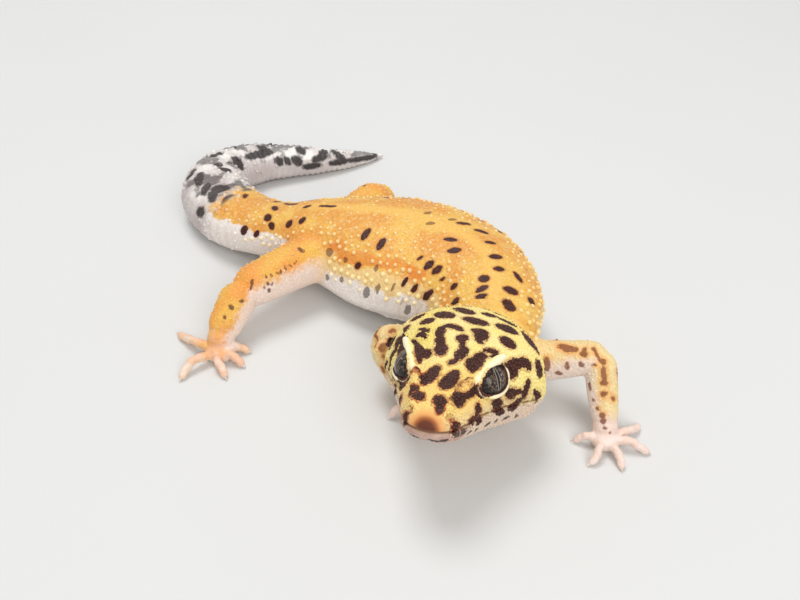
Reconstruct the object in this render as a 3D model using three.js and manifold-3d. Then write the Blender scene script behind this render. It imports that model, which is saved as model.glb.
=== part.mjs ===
// Leopard gecko, a still life-size model, in millimetres with +Z up.
//
// It stands on four splayed feet and on the far half of its tail. The head is in front (-Y), lifted and
// turned to the animal's right, the back bends round to that side and the tail curls back behind the hips.
// Every part of the body is a loft: rings of points carried along a curve and closed at both ends. Each
// named piece is kept GAP away from its neighbour, and whatever touches the floor is cut flat at z = 0.
import * as THREE from "three";
import { mergeVertices } from "three/addons/utils/BufferGeometryUtils.js";
import Module from "manifold-3d";

const wasm = await Module();
wasm.setup();

// ---------------------------------------------------------------- driving dimensions

const GAP = 0.3; // clear space between two named pieces
const SIDES = { spine: 18, head: 20, limb: 10, toe: 6, eye: 12 }; // points in one ring of a loft

const FOOTPRINT = [-4.09, 2.53]; // middle of the footprint, which becomes the origin

const HEAD = {
  snout: [3.9, -55.2, 20.0], // where the lips meet in front
  yaw: 19.5, // degrees, turned to the animal's right
  pitch: 17.8, // degrees, chin lifted
  roll: 3.7, // degrees, left side lifted
};
// Places on the head are given as steps back from the snout, out to one side, and up.
const EYE = { radius: 3.35, at: [12.9, 5.75, 3.85], gaze: [-0.38, 0.78, 0.5] };
const LID = {
  thick: 0.6, // skin over the ball
  slit: [3.5, 2.5], // half length and half height of the opening
  drop: 0.35, // the opening's centre lies this far below the gaze
  ridge: [[8.9, 4.8, 5.3], [11.3, 6.2, 6.7], [13.2, 7.5, 7.6], [14.9, 8.6, 8.0]], // upper edge
  ridgeHalf: [0.5, 0.8, 0.9, 0.6],
};

// Along the skull from the snout tip: distance back, half width, reach above and below the mouth.
const SKULL = [
  [0.0, 0.5, 0.5, 0.4],
  [0.4, 2.3, 1.9, 1.5],
  [1.3, 3.8, 3.2, 2.4],
  [3.2, 5.1, 4.5, 3.5],
  [6.0, 6.3, 5.7, 4.5],
  [9.0, 7.6, 7.0, 5.4],
  [12.4, 9.5, 8.6, 6.2],
  [16.0, 12.0, 9.8, 6.9],
  [19.0, 13.7, 10.3, 7.3],
  [22.0, 14.5, 10.6, 7.5],
  [25.0, 14.0, 10.6, 7.3],
  [28.0, 12.3, 10.1, 6.8],
  [31.0, 10.0, 9.0, 6.2],
];

// The line where the lips meet, seen from the side: distance back and height above the snout tip.
const MOUTH = [[-2, 0.1], [0.5, 0.0], [4, 0.1], [9, 0.0], [14, -0.3], [18, -0.9], [20.5, -1.6]];

// Neck, trunk and tail: centre of the section, its half width, its reach above and below the centre,
// and how far the top of the back lies to the animal's left of the centre.
const SPINE = [
  //  x      y      z    half    up   down  lean
  [12.6, -30.5, 13.4, 8.0, 5.6, 5.6, 0.0], // inside the back of the head
  [14.9, -26.2, 11.3, 8.8, 6.6, 6.4, 0.5], // neck
  [16.9, -20.6, 9.9, 10.0, 8.0, 7.2, 0.8], // shoulders
  [17.0, -13.4, 9.3, 11.4, 9.3, 7.8, 1.5],
  [14.4, -6.2, 8.8, 12.9, 10.3, 7.8, 2.0],
  [8.9, -0.6, 8.3, 14.5, 10.9, 7.5, 2.4], // ribs, the widest place
  [2.1, 3.2, 8.1, 15.1, 11.1, 7.3, 2.4],
  [-5.0, 6.1, 8.0, 14.3, 10.9, 7.2, 2.0], // belly
  [-11.8, 9.0, 8.1, 11.8, 9.9, 6.8, 1.2],
  [-18.2, 11.7, 8.2, 9.3, 8.7, 5.9, 0.5], // hips
  [-24.9, 14.5, 7.6, 7.3, 7.0, 5.0, 0.0], // root of the tail
  [-31.8, 18.0, 6.9, 7.7, 6.3, 5.3, 0.0],
  [-38.9, 24.0, 6.3, 8.6, 6.3, 6.4, 0.0], // fattest part of the tail, lying on the floor
  [-44.6, 32.6, 5.9, 8.4, 6.1, 6.2, 0.0],
  [-44.8, 43.0, 5.3, 7.3, 5.5, 5.6, 0.0],
  [-37.8, 49.8, 4.6, 6.2, 4.7, 4.9, 0.0],
  [-28.0, 52.4, 3.8, 4.9, 3.8, 4.0, 0.0],
  [-17.8, 54.6, 2.8, 3.4, 2.8, 3.0, 0.0],
  [-9.6, 57.6, 1.7, 2.0, 1.7, 1.9, 0.0],
  [-4.6, 60.2, 0.9, 0.7, 0.6, 1.0, 0.0], // tip
];
const SPINE_CUTS = { neck: 1.6, trunk: 10.0, tail_base: 13.4, tail_middle: 16.4 }; // where each ends

// One leg: joints from the body outwards, and half thicknesses along each bone.
const LEGS = {
  left_fore: {
    joints: [[21.5, -26.0, 6.6], [35.8, -31.5, 13.0], [36.9, -38.6, 3.9]],
    upper: [4.6, 4.0, 3.5, 3.0],
    lower: [3.0, 3.1, 2.8, 2.5],
    palm: { at: [36.9, -40.6, 1.62], half: [2.7, 1.9] },
    toes: [
      [[33.6, -40.6, 2.2], [31.9, -40.4, 0.47]],
      [[35.0, -43.4, 2.3], [33.6, -45.2, 0.47]],
      [[37.9, -44.0, 2.3], [38.6, -46.2, 0.47]],
      [[41.0, -41.9, 2.3], [43.9, -42.9, 0.47]],
      [[40.6, -39.2, 2.2], [43.6, -36.8, 0.47]],
    ],
  },
  right_fore: {
    joints: [[9.6, -22.2, 6.8], [-3.4, -25.4, 11.6], [1.6, -31.4, 3.9]],
    upper: [4.6, 4.0, 3.5, 3.0],
    lower: [3.0, 3.1, 2.8, 2.5],
    palm: { at: [2.4, -33.4, 1.62], half: [2.7, 1.9] },
    toes: [
      [[5.6, -34.4, 2.2], [7.2, -35.4, 0.47]],
      [[4.6, -36.2, 2.3], [6.0, -38.0, 0.47]],
      [[2.0, -36.2, 2.3], [2.2, -37.6, 0.47]],
      [[-0.4, -34.0, 2.3], [-1.5, -34.4, 0.47]],
      [[0.8, -31.2, 2.2], [0.3, -28.9, 0.47]],
    ],
  },
  right_hind: {
    joints: [[-15.0, 6.8, 8.8], [-32.0, -7.6, 9.0], [-35.9, -15.4, 4.3]],
    upper: [5.6, 5.3, 4.8, 4.2],
    lower: [4.1, 4.1, 3.7, 3.3],
    palm: { at: [-36.0, -17.7, 1.7], half: [3.2, 2.0] },
    toes: [
      [[-33.6, -17.2, 2.3], [-30.9, -17.0, 0.47]],
      [[-34.0, -19.6, 2.4], [-31.6, -20.8, 0.47]],
      [[-36.0, -21.4, 2.4], [-34.4, -23.8, 0.47]],
      [[-40.4, -21.4, 2.4], [-42.4, -24.2, 0.47]],
      [[-41.0, -15.8, 2.3], [-45.4, -11.8, 0.47]],
    ],
  },
  left_hind: {
    joints: [[-13.4, 12.6, 8.8], [-4.6, 23.4, 12.0], [-6.2, 27.0, 4.3]],
    upper: [5.6, 5.3, 4.8, 4.2],
    lower: [4.1, 4.1, 3.7, 3.3],
    palm: { at: [-4.4, 26.4, 1.7], half: [3.2, 2.0] },
    toes: [
      [[-2.4, 23.6, 2.3], [-1.2, 21.4, 0.47]],
      [[-1.4, 25.4, 2.4], [1.4, 24.2, 0.47]],
      [[-1.0, 27.4, 2.4], [3.2, 28.2, 0.47]],
      [[-2.8, 29.2, 2.4], [0.2, 32.0, 0.47]],
      [[-6.2, 29.6, 2.3], [-8.2, 32.4, 0.47]],
    ],
  },
};
// A toe of the hind foot: half thicknesses, and how far the toe and its claw reach past the last joint.
const TOE = { root: 1.15, middle: 0.95, tip: 0.75, claw: 0.25, past: 0.5, clawLength: 0.8 };
const WRIST = { halves: [2.5, 2.4, 2.1], past: [1.6, 0.4] };

// ---------------------------------------------------------------- lofts

const vector = (p) => new THREE.Vector3(...p);
const UP = new THREE.Vector3(0, 0, 1);

// A closed mesh over rings that all hold the same number of points, with a fan at each end.
function skinOver(rings) {
  const n = rings[0].length;
  const points = rings.flat();
  const faces = [];
  for (let r = 0; r + 1 < rings.length; r++)
    for (let i = 0; i < n; i++) {
      const j = (i + 1) % n;
      const [a, b, c, d] = [r * n + i, r * n + j, (r + 1) * n + j, (r + 1) * n + i];
      faces.push(a, b, c, a, c, d);
    }
  const ends = [
    [rings[0], 0, true],
    [rings.at(-1), points.length - n, false],
  ];
  for (const [ring, first, turned] of ends) {
    const middle = ring.reduce((sum, p) => sum.add(p), new THREE.Vector3()).divideScalar(n);
    points.push(middle);
    for (let i = 0; i < n; i++) {
      const j = (i + 1) % n;
      faces.push(points.length - 1, first + (turned ? j : i), first + (turned ? i : j));
    }
  }
  return new THREE.BufferGeometry().setFromPoints(points).setIndex(faces);
}

// Eases between evenly spaced values: at 0 the first one, at 1 the last.
function along(values, t) {
  const x = Math.min(Math.max(t, 0), 1) * (values.length - 1);
  const i = Math.min(Math.floor(x), values.length - 2);
  const value = (k) => values[Math.min(Math.max(k, 0), values.length - 1)];
  const [a, b, c, d] = [value(i - 1), value(i), value(i + 1), value(i + 2)];
  const f = x - i;
  return 0.5 * (2 * b + (c - a) * f + (2 * a - 5 * b + 4 * c - d) * f * f + (3 * b - a - 3 * c + d) * f ** 3);
}

// One point of a rounded section: power 2 is an ellipse, and more is squarer. The top leans sideways.
function onSection(angle, { half, up = half, down = up, above = 2, below = above, lean = 0 }) {
  const [c, s] = [Math.cos(angle), Math.sin(angle)];
  const bend = (v) => Math.sign(v) * Math.abs(v) ** (2 / (s > 0 ? above : below));
  const height = (s > 0 ? up : down) * bend(s);
  return [half * bend(c) + (lean * height) / up, height];
}

// A ring across a path, with one axis level and the other upwards.
function ringAcross(centre, heading, size, sides) {
  const across = new THREE.Vector3().crossVectors(heading, UP).normalize();
  const rise = new THREE.Vector3().crossVectors(across, heading).normalize();
  return Array.from({ length: sides }, (_, i) => {
    const [x, z] = onSection((2 * Math.PI * i) / sides, size);
    return centre.clone().addScaledVector(across, x).addScaledVector(rise, z);
  });
}

// The mesh as a solid. A loft that runs the other way comes out inside out, so it is turned round.
function solid(geometry) {
  const plain = new THREE.BufferGeometry().setAttribute("position", geometry.getAttribute("position"));
  if (geometry.index) plain.setIndex(geometry.index);
  const merged = mergeVertices(plain, 1e-4);
  const made = (turned) => {
    const triVerts = new Uint32Array(merged.index.array);
    if (turned) triVerts.reverse();
    const vertProperties = merged.attributes.position.array;
    return new wasm.Manifold(new wasm.Mesh({ numProp: 3, vertProperties, triVerts }));
  };
  const first = made(false);
  return first.volume() > 0 ? first : made(true);
}

// ---------------------------------------------------------------- trunk, neck and tail

const spineCurve = new THREE.CatmullRomCurve3(SPINE.map((s) => vector(s)), false, "catmullrom", 0.5);
const spineEnd = SPINE.length - 1;

// The length of spine between two stations, as a solid grown by some clearance all round.
function spinePiece(from, to, grown = 0) {
  const steps = Math.max(3, Math.round((to - from) * 2));
  const rings = [];
  for (let i = 0; i <= steps; i++) {
    const station = from + ((to - from) * i) / steps;
    const t = station / spineEnd;
    const [half, up, down, lean] = [3, 4, 5, 6].map((k) => along(SPINE.map((s) => s[k]), t));
    const size = { half: half + grown, up: up + grown, down: down + grown, above: 2.05, below: 2.6, lean };
    const heading = spineCurve.getTangent(t);
    const centre = spineCurve.getPoint(t).addScaledVector(heading, grown * (2 * i / steps - 1));
    rings.push(ringAcross(centre, heading, size, SIDES.spine));
  }
  return solid(skinOver(rings));
}

// ---------------------------------------------------------------- head

const skullKeys = [0, 1, 2, 3].map((k) => SKULL.map((row) => row[k]));

function headRings(grown = 0) {
  const rings = [];
  const steps = 19;
  for (let i = 0; i <= steps; i++) {
    const t = i / steps;
    const [back, half, up, down] = skullKeys.map((values) => along(values, t));
    const above = 2.2 - 0.4 * Math.exp(-(((back - 11.5) / 5) ** 2)); // slopes in towards the eyes
    const size = { half: half + grown, up: up + grown, down: down + grown, above, below: 2.5 };
    const centre = new THREE.Vector3(0, back + grown * (2 * t - 1), 0);
    rings.push(ringAcross(centre, new THREE.Vector3(0, 1, 0), size, SIDES.head));
  }
  return rings;
}

const onSide = ([back, out, up], side) => [side * out, back, up];

// The head is shaped with its snout at the origin facing -Y, and then turned and lifted into place.
const turns = [-HEAD.pitch, -HEAD.roll, -HEAD.yaw].map(THREE.MathUtils.degToRad);
const headPlace = new THREE.Matrix4()
  .makeRotationFromEuler(new THREE.Euler(...turns, "ZXY"))
  .setPosition(...HEAD.snout);

const inPlace = (made, matrix) => made.transform(matrix.elements);

function ball(radius, at, across = SIDES.eye) {
  return solid(new THREE.SphereGeometry(radius, across, across / 2).translate(...at));
}

function jawRegion(grown) {
  const line = new THREE.SplineCurve(MOUTH.map(([y, z]) => new THREE.Vector2(y, z + grown)));
  const outline = line.getPoints(24);
  const [endY] = MOUTH.at(-1);
  const below = [new THREE.Vector2(endY + 1.2 + grown, -9), new THREE.Vector2(-2, -9)];
  const shape = new THREE.Shape([...outline, ...below]);
  const slab = new THREE.ExtrudeGeometry(shape, { depth: 30, bevelEnabled: false });
  // The outline lies in X and Y, and stands up to run along the skull once its axes are turned round.
  const turned = new THREE.Matrix4().makeBasis(vector([0, 1, 0]), UP, vector([1, 0, 0]));
  return solid(slab.applyMatrix4(turned).translate(-15, 0, 0));
}

// Skin drawn over one eyeball, open in front of it, with a thick ridge along the upper edge.
function lids(side, grown) {
  const cover = ball(EYE.radius + LID.thick + grown, onSide(EYE.at, side));
  return cover.subtract(lidOpening(side, -grown)).add(
    tube(LID.ridge.map((p) => vector(onSide(p, side))), LID.ridgeHalf.map((r) => r + grown), SIDES.toe),
  );
}

// The slit between the lids: an oval bar that runs outwards along the gaze, tipped like the ridge.
function lidOpening(side, grown) {
  const gaze = vector(onSide(EYE.gaze, side)).normalize();
  const [front, , , back] = LID.ridge.map((p) => vector(onSide(p, side)));
  const alongLid = back.sub(front);
  alongLid.addScaledVector(gaze, -alongLid.dot(gaze)).normalize();
  const acrossLid = new THREE.Vector3().crossVectors(gaze, alongLid).multiplyScalar(side); // upwards
  const middle = vector(onSide(EYE.at, side))
    .addScaledVector(gaze, EYE.radius + 0.6)
    .addScaledVector(acrossLid, -LID.drop);
  const bar = new THREE.CylinderGeometry(1, 1, 2 * EYE.radius, 14);
  const place = new THREE.Matrix4().makeBasis(
    alongLid.multiplyScalar(LID.slit[0] + grown),
    gaze.clone(),
    acrossLid.multiplyScalar(LID.slit[1] + grown),
  );
  place.setPosition(middle);
  return solid(bar.applyMatrix4(place));
}

// A round bar through a few points, easing from one radius to the next.
function tube(points, radii, sides) {
  const curve = new THREE.CatmullRomCurve3(points, false, "centripetal");
  const steps = points.length;
  const rings = [];
  for (let i = 0; i <= steps; i++) {
    const t = i / steps;
    const r = along(radii, t);
    rings.push(ringAcross(curve.getPoint(t), curve.getTangent(t), { half: r }, sides));
  }
  return solid(skinOver(rings));
}

// ---------------------------------------------------------------- assembly

const group = new THREE.Group();
group.name = "leopard_gecko";
group.position.set(-FOOTPRINT[0], -FOOTPRINT[1], 0);

const floorBlock = solid(new THREE.BoxGeometry(300, 300, 20).translate(0, 0, -10));

const COLOURS = {
  back: ["#e9a94a", 0.6],
  head: ["#ecd579", 0.55],
  jaw: ["#e3d6c8", 0.55],
  tail: ["#d9d4cf", 0.6],
  leg: ["#e3a95e", 0.6],
  foot: ["#e6cdc3", 0.55],
  eye: ["#3a3230", 0.15],
};

function add(name, made, finish) {
  const mesh = made.getMesh();
  const geometry = new THREE.BufferGeometry()
    .setAttribute("position", new THREE.BufferAttribute(new Float32Array(mesh.vertProperties), 3))
    .setIndex(new THREE.BufferAttribute(new Uint32Array(mesh.triVerts), 1));
  geometry.computeVertexNormals();
  const [color, roughness] = COLOURS[finish];
  const piece = new THREE.Mesh(geometry, new THREE.MeshStandardMaterial({ color, roughness, metalness: 0 }));
  piece.name = name;
  group.add(piece);
}

// Pieces are claimed in order: each gives way, by GAP, to every piece claimed before it.
const taken = [];

function claim(name, finish, make) {
  let piece = make(0);
  for (const other of taken) piece = piece.subtract(other);
  add(name, piece.subtract(floorBlock), finish);
  taken.push(make(GAP));
}

const skull = (grown) => solid(skinOver(headRings(grown)));
const onHead = (make) => (grown) => inPlace(make(grown), headPlace);
for (const [side, sign] of [
  ["left", 1],
  ["right", -1],
])
  claim(side + "_eye", "eye", onHead((grown) => ball(EYE.radius + grown, onSide(EYE.at, sign))));
claim("jaw", "jaw", onHead((grown) => skull(grown).intersect(jawRegion(grown))));
claim("head", "head", onHead((grown) => {
  let made = skull(grown).subtract(lidOpening(1, -grown)).subtract(lidOpening(-1, -grown));
  for (const side of [1, -1]) made = made.add(lids(side, grown));
  return made;
}));

const cuts = [0, ...Object.values(SPINE_CUTS), spineEnd];
const finishes = ["back", "back", "tail", "tail", "tail"];
[...Object.keys(SPINE_CUTS), "tail_tip"].forEach((name, i) =>
  claim(name, finishes[i], (grown) => spinePiece(cuts[i], cuts[i + 1], grown)),
);

// A leg bone from one joint to the next, with rounded ends that reach a little past them.
function bone(from, to, halves, past, grown) {
  const [a, b] = [vector(from), vector(to)];
  const heading = b.clone().sub(a).normalize();
  a.addScaledVector(heading, -past[0] - grown);
  b.addScaledVector(heading, past[1] + grown);
  const length = a.distanceTo(b);
  const rings = [];
  const steps = 6;
  for (let i = 0; i <= steps; i++) {
    const t = i / steps;
    const r = along(halves, t) + grown;
    const fromEnd = Math.min(t, 1 - t) * length;
    const round = Math.sqrt(Math.max(0.12, 1 - Math.max(0, 1 - fromEnd / r) ** 2));
    rings.push(ringAcross(a.clone().lerp(b, t), heading, { half: r * round }, SIDES.limb));
  }
  return solid(skinOver(rings));
}

function foot({ palm, toes }, ankle, grown) {
  const at = vector(palm.at);
  const [wide, thick] = palm.half;
  let made = solid(new THREE.SphereGeometry(1, 10, 5).scale(wide, wide, thick).translate(...palm.at));
  for (const [knuckle, tip] of toes) {
    const [k, e] = [vector(knuckle), vector(tip)];
    const out = e.clone().sub(k).setZ(0).normalize();
    e.addScaledVector(out, TOE.past);
    const claw = e.clone().addScaledVector(out, TOE.clawLength).setZ(0.35);
    const start = at.clone().lerp(k, 0.3).setZ(at.z);
    const radii = [TOE.root, TOE.middle, TOE.middle, TOE.tip, TOE.claw].map((r) => (r * wide) / 3.2);
    made = made.add(tube([start, k, k.clone().lerp(e, 0.6), e, claw], radii, SIDES.toe));
  }
  return made.add(bone(ankle, palm.at, WRIST.halves.map((r) => (r * wide) / 2.7), WRIST.past, grown));
}

const BONES = {
  fore: ["_upper_arm", "_forearm", "_hand"],
  hind: ["_thigh", "_shank", "_foot"],
};

for (const [leg, { joints, upper, lower, palm, toes }] of Object.entries(LEGS)) {
  const [root, knee, ankle] = joints;
  const [first, second, third] = BONES[leg.split("_")[1]];
  claim(leg + first, "leg", (grown) => bone(root, knee, upper, [2, 1.5], grown));
  claim(leg + second, "leg", (grown) => bone(knee, ankle, lower, [1.2, 1.4], grown));
  claim(leg + third, "foot", (grown) => foot({ palm, toes }, ankle, grown));
}

export default group;
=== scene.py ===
"""A leopard gecko, life size, standing: its skin, scales, eyes and claws, and the stage it is shown on."""

import math

import bpy
import numpy as np
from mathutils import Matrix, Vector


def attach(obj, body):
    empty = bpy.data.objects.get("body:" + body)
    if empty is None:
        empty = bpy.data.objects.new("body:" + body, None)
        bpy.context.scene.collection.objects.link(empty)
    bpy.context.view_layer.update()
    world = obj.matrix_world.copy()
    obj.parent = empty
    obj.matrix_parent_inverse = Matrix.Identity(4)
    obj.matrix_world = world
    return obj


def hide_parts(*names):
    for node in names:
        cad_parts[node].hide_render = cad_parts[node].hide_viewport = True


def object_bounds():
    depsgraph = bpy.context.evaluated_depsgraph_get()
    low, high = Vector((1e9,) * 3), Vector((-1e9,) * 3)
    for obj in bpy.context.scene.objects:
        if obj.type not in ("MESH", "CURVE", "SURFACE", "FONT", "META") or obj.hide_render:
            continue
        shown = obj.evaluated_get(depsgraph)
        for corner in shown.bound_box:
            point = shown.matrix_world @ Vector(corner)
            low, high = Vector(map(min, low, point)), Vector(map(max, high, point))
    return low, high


bl_info = {
    "name": "Leopard Gecko Model",
    "version": (1, 0, 0),
    "blender": (4, 5, 0),
    "location": "3D View > Sidebar > Gecko",
    "description": "Builds the skin, scales, eyes and claws of a still leopard gecko around its solid frame",
    "category": "Add Mesh",
}

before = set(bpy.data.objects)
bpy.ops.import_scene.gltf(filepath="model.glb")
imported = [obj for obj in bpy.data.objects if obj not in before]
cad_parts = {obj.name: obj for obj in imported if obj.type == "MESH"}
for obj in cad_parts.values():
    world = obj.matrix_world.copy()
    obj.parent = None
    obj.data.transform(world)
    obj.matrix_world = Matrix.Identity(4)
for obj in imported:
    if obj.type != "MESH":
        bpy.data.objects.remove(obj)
CAD_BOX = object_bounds()

# ---------------- sizes of the animal, in millimetres

MM = 0.001
TO_FOOTPRINT = np.array([4.09, -2.53, 0.0])  # moves the middle of the footprint to the origin
UP = np.array([0.0, 0.0, 1.0])

SNOUT = np.array([3.9, -55.2, 20.0])  # where the lips meet in front
HEAD_YAW, HEAD_PITCH, HEAD_ROLL = 19.5, 17.8, 3.7  # degrees: turned right, chin lifted, left side lifted

# Along the skull: distance back from the snout tip, half width, reach above and below the mouth.
SKULL = np.array([
    [0.0, 0.5, 0.5, 0.4], [0.4, 2.3, 1.9, 1.5], [1.3, 3.8, 3.2, 2.4], [3.2, 5.1, 4.5, 3.5],
    [6.0, 6.3, 5.7, 4.5], [9.0, 7.6, 7.0, 5.4], [12.4, 9.5, 8.6, 6.2], [16.0, 12.0, 9.8, 6.9],
    [19.0, 13.7, 10.3, 7.3], [22.0, 14.5, 10.6, 7.5], [25.0, 14.0, 10.6, 7.3], [28.0, 12.3, 10.1, 6.8],
    [31.0, 10.0, 9.0, 6.2],
])
SKULL_POWER = (2.2, 2.5)  # how square the section is above and below; 2 is an ellipse
BROW_SLOPE = (0.4, 11.5, 5.0)  # the sides slope in by this much at this distance back, over this length
MOUTH = np.array([[0.5, 0.0], [4, 0.1], [9, 0.0], [14, -0.3], [18, -0.9], [20.5, -1.6]])  # back, height
MOUTH_CORNER = (20.8, -2.2)  # back and up

# Places on the head are (out to the left, back from the snout, up).
EYE_AT, EYE_RADIUS = np.array([5.75, 12.9, 3.85]), 3.35
GAZE = np.array([0.78, -0.38, 0.5])  # the way the opening of the lids faces
SIGHT = np.array([0.74, -0.5, 0.45])  # the way the pupil looks
LID_SLIT, LID_DROP = (3.5, 2.5), 0.35  # half length and half height of the opening; how far it lies low
LID_SKIN, EYE_UNDER_LIDS = 0.6, 0.22  # how far lids and eyeball stand out from the eye's radius
NOSTRIL = np.array([3.05, 1.75, 2.15])
EAR, EAR_HALF = (25.6, 0.2), (0.75, 1.5)  # back and up
LID_RIDGE = np.array([[4.8, 8.9, 5.3], [6.2, 11.3, 6.7], [7.5, 13.2, 7.6], [8.6, 14.9, 8.0]])
LID_RIDGE_HALF = [0.48, 0.7, 0.78, 0.55]

# Neck, trunk and tail: centre, half width, reach above and below, and the lean of the back to the left.
SPINE = np.array([
    [12.6, -30.5, 13.4, 8.0, 5.6, 5.6, 0.0], [14.9, -26.2, 11.3, 8.8, 6.6, 6.4, 0.5],
    [16.9, -20.6, 9.9, 10.0, 8.0, 7.2, 0.8], [17.0, -13.4, 9.3, 11.4, 9.3, 7.8, 1.5],
    [14.4, -6.2, 8.8, 12.9, 10.3, 7.8, 2.0], [8.9, -0.6, 8.3, 14.5, 10.9, 7.5, 2.4],
    [2.1, 3.2, 8.1, 15.1, 11.1, 7.3, 2.4], [-5.0, 6.1, 8.0, 14.3, 10.9, 7.2, 2.0],
    [-11.8, 9.0, 8.1, 11.8, 9.9, 6.8, 1.2], [-18.2, 11.7, 8.2, 9.3, 8.7, 5.9, 0.5],
    [-24.9, 14.5, 7.6, 7.3, 7.0, 5.0, 0.0], [-31.8, 18.0, 6.9, 7.7, 6.3, 5.3, 0.0],
    [-38.9, 24.0, 6.3, 8.6, 6.3, 6.4, 0.0], [-44.6, 32.6, 5.9, 8.4, 6.1, 6.2, 0.0],
    [-44.8, 43.0, 5.3, 7.3, 5.5, 5.6, 0.0], [-37.8, 49.8, 4.6, 6.2, 4.7, 4.9, 0.0],
    [-28.0, 52.4, 3.8, 4.9, 3.8, 4.0, 0.0], [-17.8, 54.6, 2.8, 3.4, 2.8, 3.0, 0.0],
    [-9.6, 57.6, 1.7, 2.0, 1.7, 1.9, 0.0], [-4.6, 60.2, 0.9, 0.7, 0.6, 1.0, 0.0],
])
SPINE_POWER = (2.05, 2.6)
LAST_STATION = len(SPINE) - 1
BACK_LINE, HEAD_LINE = 92.0, 90  # the angles of the lines along the middle of the back and of the head

# Legs: the joints from root to ankle, half thicknesses along both bones, the palm and its toes.
FORE = {"upper": [4.6, 4.0, 3.5, 3.0], "lower": [3.0, 3.1, 2.8, 2.5], "palm": (2.7, 1.9)}
HIND = {"upper": [5.6, 5.3, 4.8, 4.2], "lower": [4.1, 4.1, 3.7, 3.3], "palm": (3.2, 2.0)}
LEGS = {
    "left_fore": FORE | {
        "joints": [[21.5, -26.0, 6.6], [35.8, -31.5, 13.0], [36.9, -38.6, 3.9]], "at": [36.9, -40.6, 1.62],
        "toes": [([33.6, -40.6, 2.2], [31.9, -40.4, 0.47]), ([35.0, -43.4, 2.3], [33.6, -45.2, 0.47]),
                 ([37.9, -44.0, 2.3], [38.6, -46.2, 0.47]), ([41.0, -41.9, 2.3], [43.9, -42.9, 0.47]),
                 ([40.6, -39.2, 2.2], [43.6, -36.8, 0.47])]},
    "right_fore": FORE | {
        "joints": [[9.6, -22.2, 6.8], [-3.4, -25.4, 11.6], [1.6, -31.4, 3.9]], "at": [2.4, -33.4, 1.62],
        "toes": [([5.6, -34.4, 2.2], [7.2, -35.4, 0.47]), ([4.6, -36.2, 2.3], [6.0, -38.0, 0.47]),
                 ([2.0, -36.2, 2.3], [2.2, -37.6, 0.47]), ([-0.4, -34.0, 2.3], [-1.5, -34.4, 0.47]),
                 ([0.8, -31.2, 2.2], [0.3, -28.9, 0.47])]},
    "right_hind": HIND | {
        "joints": [[-15.0, 6.8, 8.8], [-32.0, -7.6, 9.0], [-35.9, -15.4, 4.3]], "at": [-36.0, -17.7, 1.7],
        "toes": [([-33.6, -17.2, 2.3], [-30.9, -17.0, 0.47]), ([-34.0, -19.6, 2.4], [-31.6, -20.8, 0.47]),
                 ([-36.0, -21.4, 2.4], [-34.4, -23.8, 0.47]), ([-40.4, -21.4, 2.4], [-42.4, -24.2, 0.47]),
                 ([-41.0, -15.8, 2.3], [-45.4, -11.8, 0.47])]},
    "left_hind": HIND | {
        "joints": [[-13.4, 12.6, 8.8], [-4.6, 23.4, 12.0], [-6.2, 27.0, 4.3]], "at": [-4.4, 26.4, 1.7],
        "toes": [([-2.4, 23.6, 2.3], [-1.2, 21.4, 0.47]), ([-1.4, 25.4, 2.4], [1.4, 24.2, 0.47]),
                 ([-1.0, 27.4, 2.4], [3.2, 28.2, 0.47]), ([-2.8, 29.2, 2.4], [0.2, 32.0, 0.47]),
                 ([-6.2, 29.6, 2.3], [-8.2, 32.4, 0.47])]},
}
LEFT_LEGS = [i for i, name in enumerate(LEGS) if name.startswith("left")]
TOE_HALF, TOE_PAST, CLAW_LENGTH = np.array([1.1, 0.84, 0.88, 0.8, 0.64]), 0.5, 0.7  # of the hind foot
TOE_BOWS = {  # how far the middle of each toe bends to the left, seen from the palm
    "left_fore": [-0.35, 0.5, 0.5, 0.1, -0.4], "right_fore": [0.35, -0.4, -0.4, -0.1, 0.3],
    "right_hind": [0.5, 0.45, 0.2, -0.5, 0.2], "left_hind": [-0.4, -0.4, -0.2, 0.4, -0.2],
}
ANKLE_HALF, ANKLE_PAST = np.array([2.5, 2.4, 2.1]) / 2.7, (1.6, 0.4)  # in parts of the palm's half width

# ---------------- easing, sections and lofts


def ease(values, t, run_on=False):
    """Goes smoothly through evenly spaced values: at t 0 the first one, at 1 the last."""
    values, t = np.asarray(values, float), np.asarray(t, float)
    x = np.clip(t, 0, 1) * (len(values) - 1)
    i = np.minimum(np.floor(x).astype(int), len(values) - 2)
    first = 2 * values[:1] - values[1:2] if run_on else values[:1]
    last = 2 * values[-1:] - values[-2:-1] if run_on else values[-1:]
    padded = np.concatenate([first, values, last])
    f = x - i
    a, b, c, d = (padded[i + k] for k in range(4))
    if values.ndim > 1:
        f = f[..., None]
    return 0.5 * (2 * b + (c - a) * f + (2 * a - 5 * b + 4 * c - d) * f ** 2
                  + (3 * b - a - 3 * c + d) * f ** 3)


def rise_between(x, low, high):
    """0 below low, 1 above high, and smooth between them."""
    t = np.clip((x - low) / (high - low), 0, 1)
    return t * t * (3 - 2 * t)


def hill(x, middle, width):
    """1 at the middle, and smoothly less on both sides of it."""
    return np.exp(-((x - middle) / width) ** 2)


def unit(v):
    return v / np.maximum(np.linalg.norm(v, axis=-1, keepdims=True), 1e-9)


def section(angle, half, up, down, powers, lean=0.0):
    """A point on a rounded section, as steps across and up. The top leans sideways."""
    c, s = np.cos(angle), np.sin(angle)
    power = 2 / np.where(s > 0, powers[0], powers[1])
    x = half * np.sign(c) * np.abs(c) ** power
    z = np.where(s > 0, up, down) * np.sign(s) * np.abs(s) ** power
    return x + lean * z / up, z


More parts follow.
